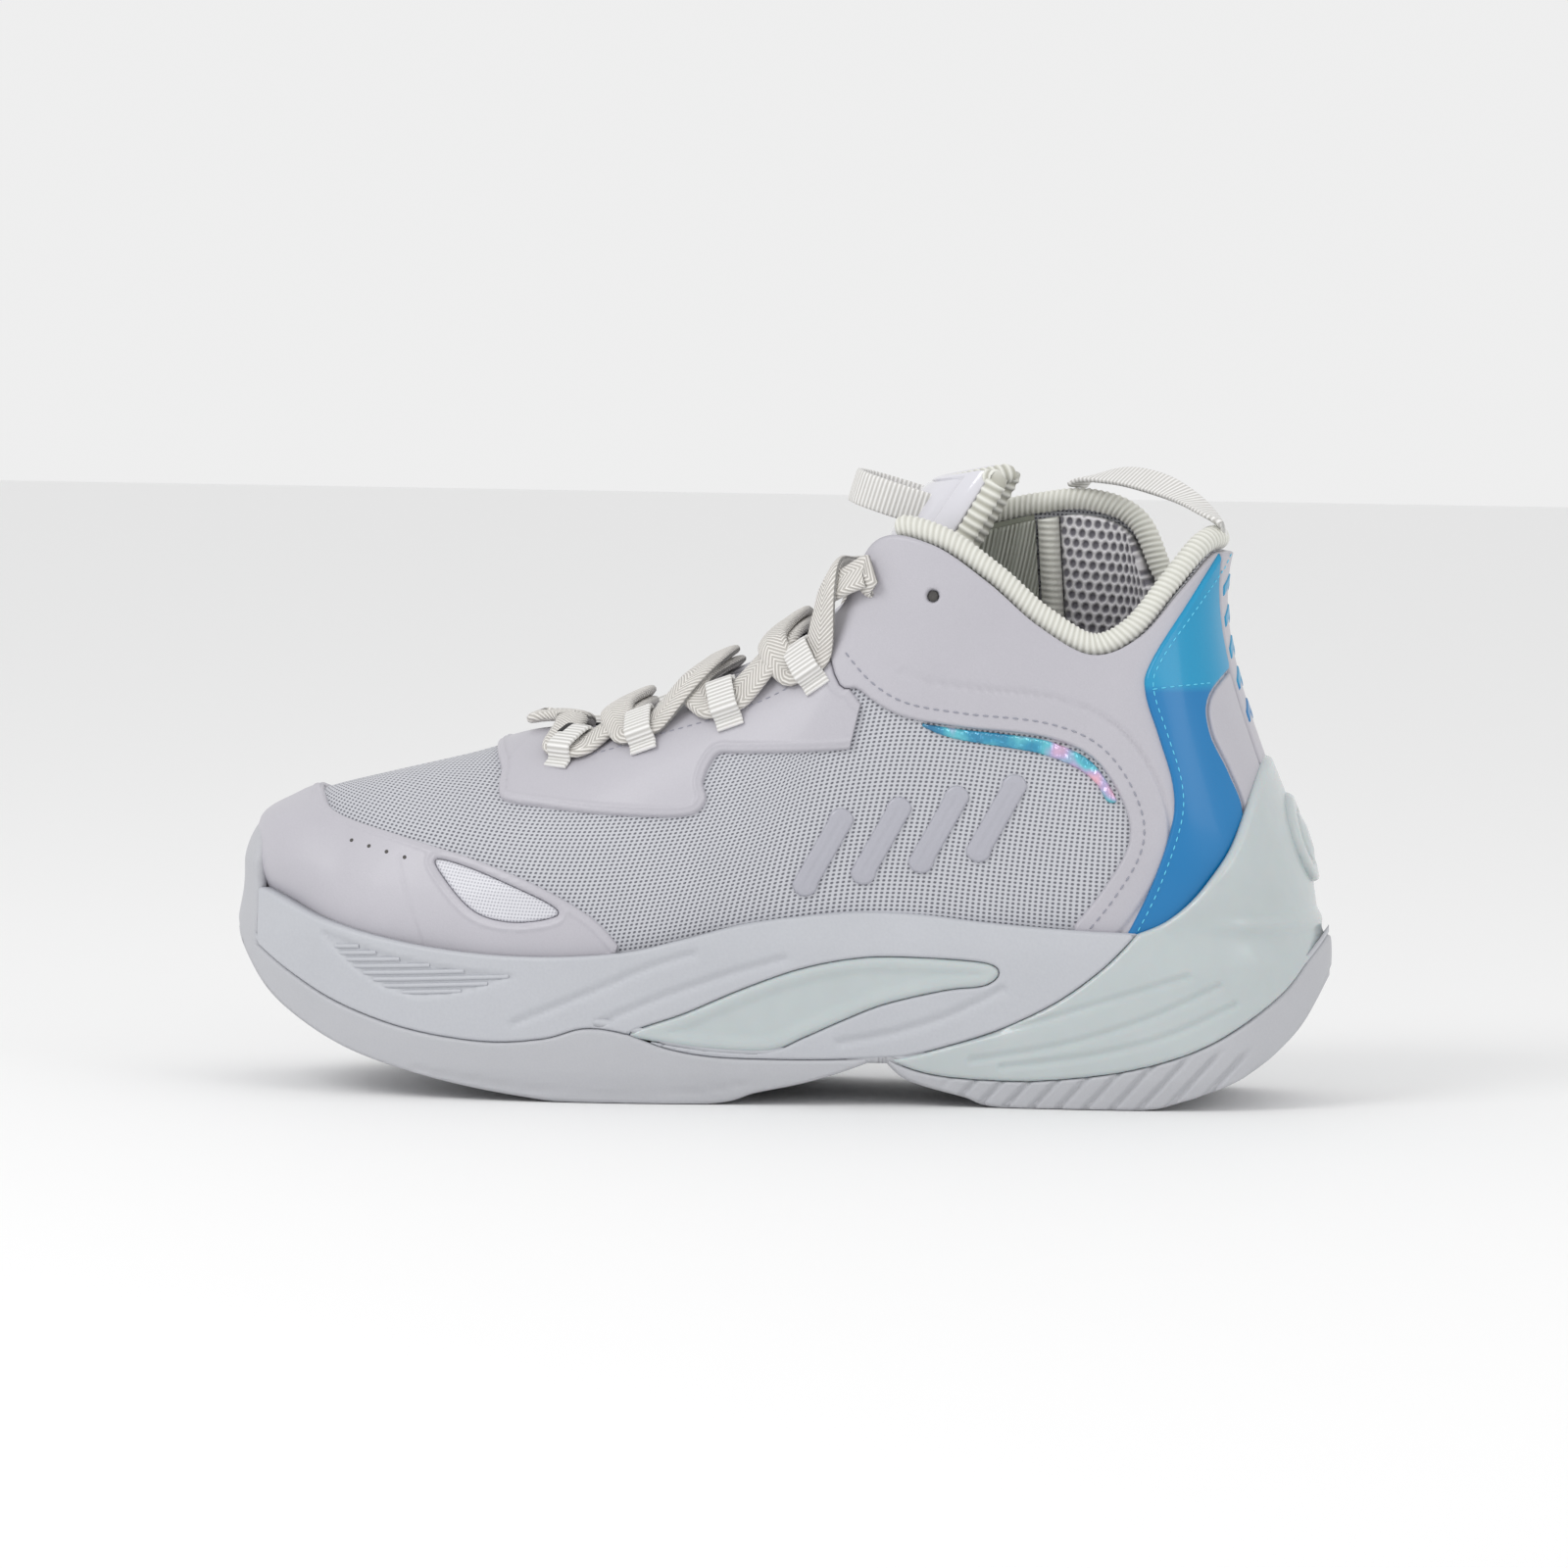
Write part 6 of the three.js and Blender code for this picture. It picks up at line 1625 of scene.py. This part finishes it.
# ---- Tongue -----------------------------------------------------------------------------------
@dataclass
class TongueSet:
    """The tongue's cloth body, its glossy top, its edge binding and its pull loop."""

    shape: Tongue = field(default_factory=Tongue)
    bend_from: tuple[float, float, float] = (0.029, 0, 0.139)
    bend_to: tuple[float, float, float] = (0.041, 0, 0.150)
    station_step: float = 12.5
    half_width: float = 22
    dot_pitch: float = 3.4

    def body(self) -> None:
        """The padded cloth body, with rows of small perforations."""
        rows, cols = 260, 80
        u = np.linspace(0.0, 9.0, rows)
        side = np.sin(np.linspace(-np.pi / 2, np.pi / 2, cols))
        uv = np.stack(np.meshgrid(u, side, indexing="ij"), -1).reshape(-1, 2)
        thick = self.shape.thickness(uv)
        end = np.minimum(uv[:, 0] / 0.25, (9 - uv[:, 0]) / 0.3)
        round_off = rounded(end) * np.sqrt(np.clip(1 - uv[:, 1] ** 10, 0, 1))
        pillow = 0.6 * np.abs(np.sin(np.pi * uv[:, 0])) * np.cos(uv[:, 1] * np.pi / 2) * (uv[:, 0] < 6.3)
        half = thick / 2
        dots = self.perforations(uv)
        front = self.shape.at(uv, -half + (half + pillow) * round_off - 0.5 * dots).reshape(rows, cols, 3)
        back = self.shape.at(uv, -half - half * round_off).reshape(rows, cols, 3)
        rings = np.concatenate([front, back[:, ::-1]], 1)
        shade = np.concatenate([1 - dots.reshape(rows, cols), np.ones((rows, cols))], 1)
        cloth = loft("tongue_pad", rings, TONGUE_CLOTH, shade=shade)
        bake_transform(cloth)
        finish_up(cloth, "knit", "tongue", "tongue_top")

    def perforations(self, uv: Array) -> Array:
        """How deep in a perforation each place on the tongue is, from 0 to 1."""
        up, side = uv[:, 0] * self.station_step / self.dot_pitch, uv[:, 1] * self.half_width / self.dot_pitch
        row = np.floor(up)
        a = (side + 0.5 * (row % 2)) % 1 - 0.5
        b = up - row - 0.5
        return ease((0.3 - np.hypot(a, b)) / 0.14) * (uv[:, 0] < 6.2) * (np.abs(uv[:, 1]) < 0.9)

    def top(self) -> None:
        """The polished foam-backed face of the top part, with a soft raised border."""
        rows, cols = 90, 90
        u = np.linspace(6.75, 8.92, rows)
        side = np.linspace(-0.97, 0.97, cols)
        uv = np.stack(np.meshgrid(u, side, indexing="ij"), -1).reshape(-1, 2)
        a = np.minimum((uv[:, 0] - u[0]) * 11, (u[-1] - uv[:, 0]) * 11)
        d = np.minimum(a, (0.97 - np.abs(uv[:, 1])) * self.half_width)
        rise = 1.9 * rounded(d / 2.2) - 0.7 * bump_at(d, 4.2, 0.9) + 0.5 * ease(d / 12) + 0.25
        front = self.shape.at(uv, rise).reshape(rows, cols, 3)
        back = self.shape.at(uv, -0.8).reshape(rows, cols, 3)
        rings = np.concatenate([front, back[:, ::-1]], 1)
        dress(loft("tongue_gloss_face", rings, GLOSS), "tongue_top", "gloss_film")

    def edging(self) -> None:
        """The rib-knitted binding round the top part's edge."""
        up, over = np.linspace(6.9, 8.85, 12), np.linspace(-0.92, 0.92, 15)
        sides = [np.stack([up, 0 * up - 0.99], 1), np.stack([0 * over + 8.97, over], 1),
                 np.stack([up[::-1], 0 * up + 0.99], 1)]
        uv = np.concatenate(sides)
        thick = self.shape.thickness(uv)
        points = self.shape.at(uv, -thick / 2)

        def swell(walked: Array) -> tuple[Array, Array]:
            ribs = 1 + 0.07 * np.cos(walked * 2 * np.pi / 2.3)
            return ribs, ribs

        edge = Strip(points, self.shape.outward(uv), 4.2, 5.4, 3.2, 0.9, swell)
        edge.build("tongue_edging", EDGE_KNIT, "tongue_top", "knit")

    def loop(self) -> None:
        """The woven pull loop that folds back over the tongue's top edge."""
        reach = np.array([6, 0, -7, -14, -20, -22.5])
        half = np.array([11, 11.5, 12, 11, 7, 0.0])
        near = np.stack([40 + reach, -half, 154 - 0.3 * reach], 1)
        far = near[:-1][::-1] * [1, -1, 1]
        points = np.concatenate([near, far])
        run = unit(np.gradient(points, axis=0))
        face = unit(np.cross(np.tile(unit(np.array([[0.3, 0, 1.0]])), (len(points), 1)), run))
        loop = Strip(points, face, 9.0, 1.5, 2.0, 0.35)
        loop.build("tongue_pull", WEBBING, "tongue_loop", "webbing", "tongue_loop")

    def build(self) -> None:
        """Makes the whole tongue."""
        self.body()
        self.top()
        self.edging()
        self.loop()


# ---- Lacing -----------------------------------------------------------------------------------
@dataclass
class Lacing:
    """The lace and the eight webbing loops that it runs through."""

    last: Last
    tongue: Tongue = field(default_factory=Tongue)
    width: float = 8.8
    thick: float = 3.0
    reach: float = 2.5

    def frame(self, s: float, h: float) -> tuple[Array, Array, Array]:
        """A place on the wall, the way out and the heelward way along it."""
        at = self.last.wall(np.array([[s, h]]))[0]
        out = self.last.outward(np.array([[s, h]]))[0]
        along = self.last.wall(np.array([[s - 0.05, h]]))[0] - self.last.wall(np.array([[s + 0.05, h]]))[0]
        along = unit(along if s <= SIDE else -along)
        return at, out, unit(along - out * (along @ out))

    def run(self, starts_lateral: bool, is_over: bool) -> tuple[list, list]:
        """One end of the lace, from the lowest row to its eyelet.

        Args:
            starts_lateral: which side its first row is on.
            is_over: whether it crosses over the other end.

        Returns:
            Its points and the directions its face looks in.
        """
        points, faces = [], []
        for k, (s, h) in enumerate(LACE_ROWS):
            lateral = (k % 2 == 0) == starts_lateral
            at, out, along = self.frame(s if lateral else LOOP - s, h)
            for reach in (-1.8, 0, 1.8):
                points.append(at + out * 3.2 + along * reach * self.reach)
                faces.append(out)
            last_row = k == len(LACE_ROWS) - 1
            following = EYELET[0] if last_row else LACE_ROWS[k + 1][0]
            near, far = 0.52 * s + 0.48 * following, 0.56 * s + 0.44 * following
            clear = (6.6 if is_over else 4.2) + (1.2 if last_row else 0)
            leave, land = (near, LOOP - far) if lateral else (LOOP - near, far)
            middle, up = self.over_tongue(CROSSINGS[k])
            ends = np.array([[leave, 1.0], [land, 1.0]])
            (start, stop), looks = self.last.at(ends, clear), self.last.outward(ends)
            points += [start, middle + up * (5.2 if is_over else 2.2), stop]
            faces += [looks[0], up, looks[1]]
        s = EYELET[0] if starts_lateral else LOOP - EYELET[0]
        at, up, along = self.frame(s, EYELET[1])
        for out, ahead, look in ((4, 4, up), (2.6, 0.6, up - along), (-1, 0, -along), (-5, 0, -along)):
            points.append(at + up * out + along * ahead)
            faces.append(unit(look))
        return points, faces

    def over_tongue(self, station: float) -> tuple[Array, Array]:
        """The place and outward way on the tongue's middle line."""
        uv = np.array([[station, 0.0]])
        return self.tongue.at(uv, 0)[0], self.tongue.outward(uv)[0]

    def lace(self) -> None:
        """The flat braided lace."""
        first, first_faces = self.run(True, False)
        second, second_faces = self.run(False, True)
        ends, lean = np.array([[12.62, 1.0], [21.38, 1.0]]), unit(np.array([-0.35, 0, 1.0]))
        (start, stop), looks = self.last.at(ends, 4.6), self.last.outward(ends)
        bar = [start, self.last.wall(np.array([[13.0, 1.0]]))[0] * [1, 0, 1] + lean * 5.2, stop]
        bar_faces = [looks[0], lean, looks[1]]
        points = np.array(first[::-1] + bar + second)
        faces = np.array(first_faces[::-1] + bar_faces + second_faces)

        def swell(walked: Array) -> tuple[Array, Array]:
            wave = 1 + 0.05 * np.sin(walked / 9.0) + 0.03 * np.sin(walked / 3.7)
            return wave, 2 - wave

        lace = Strip(points, faces, self.width, self.thick, 1.6, 0.75, swell)
        lace.build("flat_lace", LACE, ROOT, "lace_weave", "lace")

    def loops(self) -> None:
        """A woven loop for each row and side; the first lateral one has a black stripe."""
        for side, lateral in SIDES:
            for k, (s, h) in enumerate(LACE_ROWS):
                at, up, along = self.frame(s if lateral else LOOP - s, h)
                across_way = np.cross(up, along)
                half, leg, roof = 5.6, 2.0, 5.85
                shape = [[-half - 3.0, leg - 0.6], [-half - 0.6, leg], [-half, leg + 1.5], [-half + 0.3, roof - 0.8],
                         [-half + 1.6, roof], [0, roof + 0.25], [half - 1.6, roof], [half - 0.3, roof - 0.8],
                         [half, leg + 1.5], [half + 0.6, leg], [half + 3.0, leg - 0.6]]
                points = np.array([at + across_way * a + up * b for a, b in shape])
                run = unit(np.gradient(points, axis=0))
                faces = unit(np.cross(np.tile(along, (len(points), 1)), run))
                loop = Strip(points, faces, 7.4, 1.1, 2.5, 0.35)
                loop.build(f"lace_strap_{side}_{k + 1}", WEBBING, ROOT, "webbing", f"lace_loop_{side}_{k + 1}")
                if k == 0:
                    end = slice(5, 11) if lateral else slice(0, 6)
                    dark = Strip(points[end] + faces[end] * 0.12 - along * 2.9, faces[end], 1.9, 1.1, 2.5, 0.35)
                    dark.build(f"lace_strap_mark_{side}", BLACK, ROOT, "webbing")

    def build(self) -> None:
        """Makes the lace and its loops."""
        self.lace()
        self.loops()


# ---- What stays from the frame --------------------------------------------------------------
HIDDEN = {"strobel_board": BOARD, "heel_counter": BOARD, "toe_puff": BOARD, "sockliner": SOCK,
          "heel_lining": LINING, "quarter_lining_lateral": LINING, "quarter_lining_medial": LINING}


def keep_inner_pieces(nodes: dict) -> None:
    """Gives the plain inner pieces their cloth and board."""
    for name, finish in HIDDEN.items():
        for slot in nodes[name].material_slots:
            slot.material = PAINT(finish)
        log.info("%s: kept", name)


# ---- Stage ------------------------------------------------------------------------------------
def light(name: str, place: tuple[float, float, float], size: float, power: float) -> None:
    """A square soft light that faces the shoe."""
    data = bpy.data.lights.new(name, "AREA")
    data.size, data.energy = size, power
    lamp = bpy.data.objects.new(name, data)
    lamp.location = place
    lamp.rotation_euler = (Vector((0, 0, 0.07)) - Vector(place)).to_track_quat("-Z", "Y").to_euler()
    bpy.context.scene.collection.objects.link(lamp)


def set_stage() -> None:
    """A pale floor, a white room, two soft lights and the camera."""
    scene = bpy.context.scene
    world = bpy.data.worlds.new("studio")
    world.use_nodes = True
    world.node_tree.nodes.clear()
    sky = add(world.node_tree, "ShaderNodeBackground", {"Color": linear("ffffff"), "Strength": 0.86})
    add(world.node_tree, "ShaderNodeOutputWorld", {0: sky.outputs[0]})
    scene.world = world
    scene.view_settings.view_transform = "Standard"
    floor = bpy.data.meshes.new("floor")
    floor.from_pydata([(-4, -4, 0), (4, -4, 0), (4, 4, 0), (-4, 4, 0)], [], [(0, 1, 2, 3)])
    floor.materials.append(Finish("studio_floor", "f4f4f4", "f2f2f2", 0.7, blotch=0.0, relief=0.0).build())
    ground = bpy.data.objects.new("floor", floor)
    ground.location.z = -0.0002
    scene.collection.objects.link(ground)
    light("key", (-0.9, -1.1, 1.3), 0.8, 9)
    light("fill", (1.2, -0.9, 0.7), 0.7, 2.5)
    camera = bpy.data.objects.new("camera", bpy.data.cameras.new("camera"))
    camera.data.lens, camera.data.sensor_width = 216.3, 36
    camera.data.dof.use_dof = False
    target = Vector((-0.0004, 0, 0.0809))
    camera.location = target + 2.5 * Vector((0.104, -0.992, 0.070))
    look = (target - camera.location).to_track_quat("-Z", "Y").to_matrix()
    camera.rotation_euler = (look @ Matrix.Rotation(np.radians(0.75), 3, "Z")).to_euler()
    scene.collection.objects.link(camera)
    scene.camera = camera


def main() -> None:
    """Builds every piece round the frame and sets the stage."""
    last = Last()
    SoleUnit(last).build()
    Upper(last).build()
    Collar(last).build()
    TongueSet().build()
    Lacing(last).build()
    keep_inner_pieces(frame["nodes"])
    set_stage()


if __name__ == "__main__":
    main()
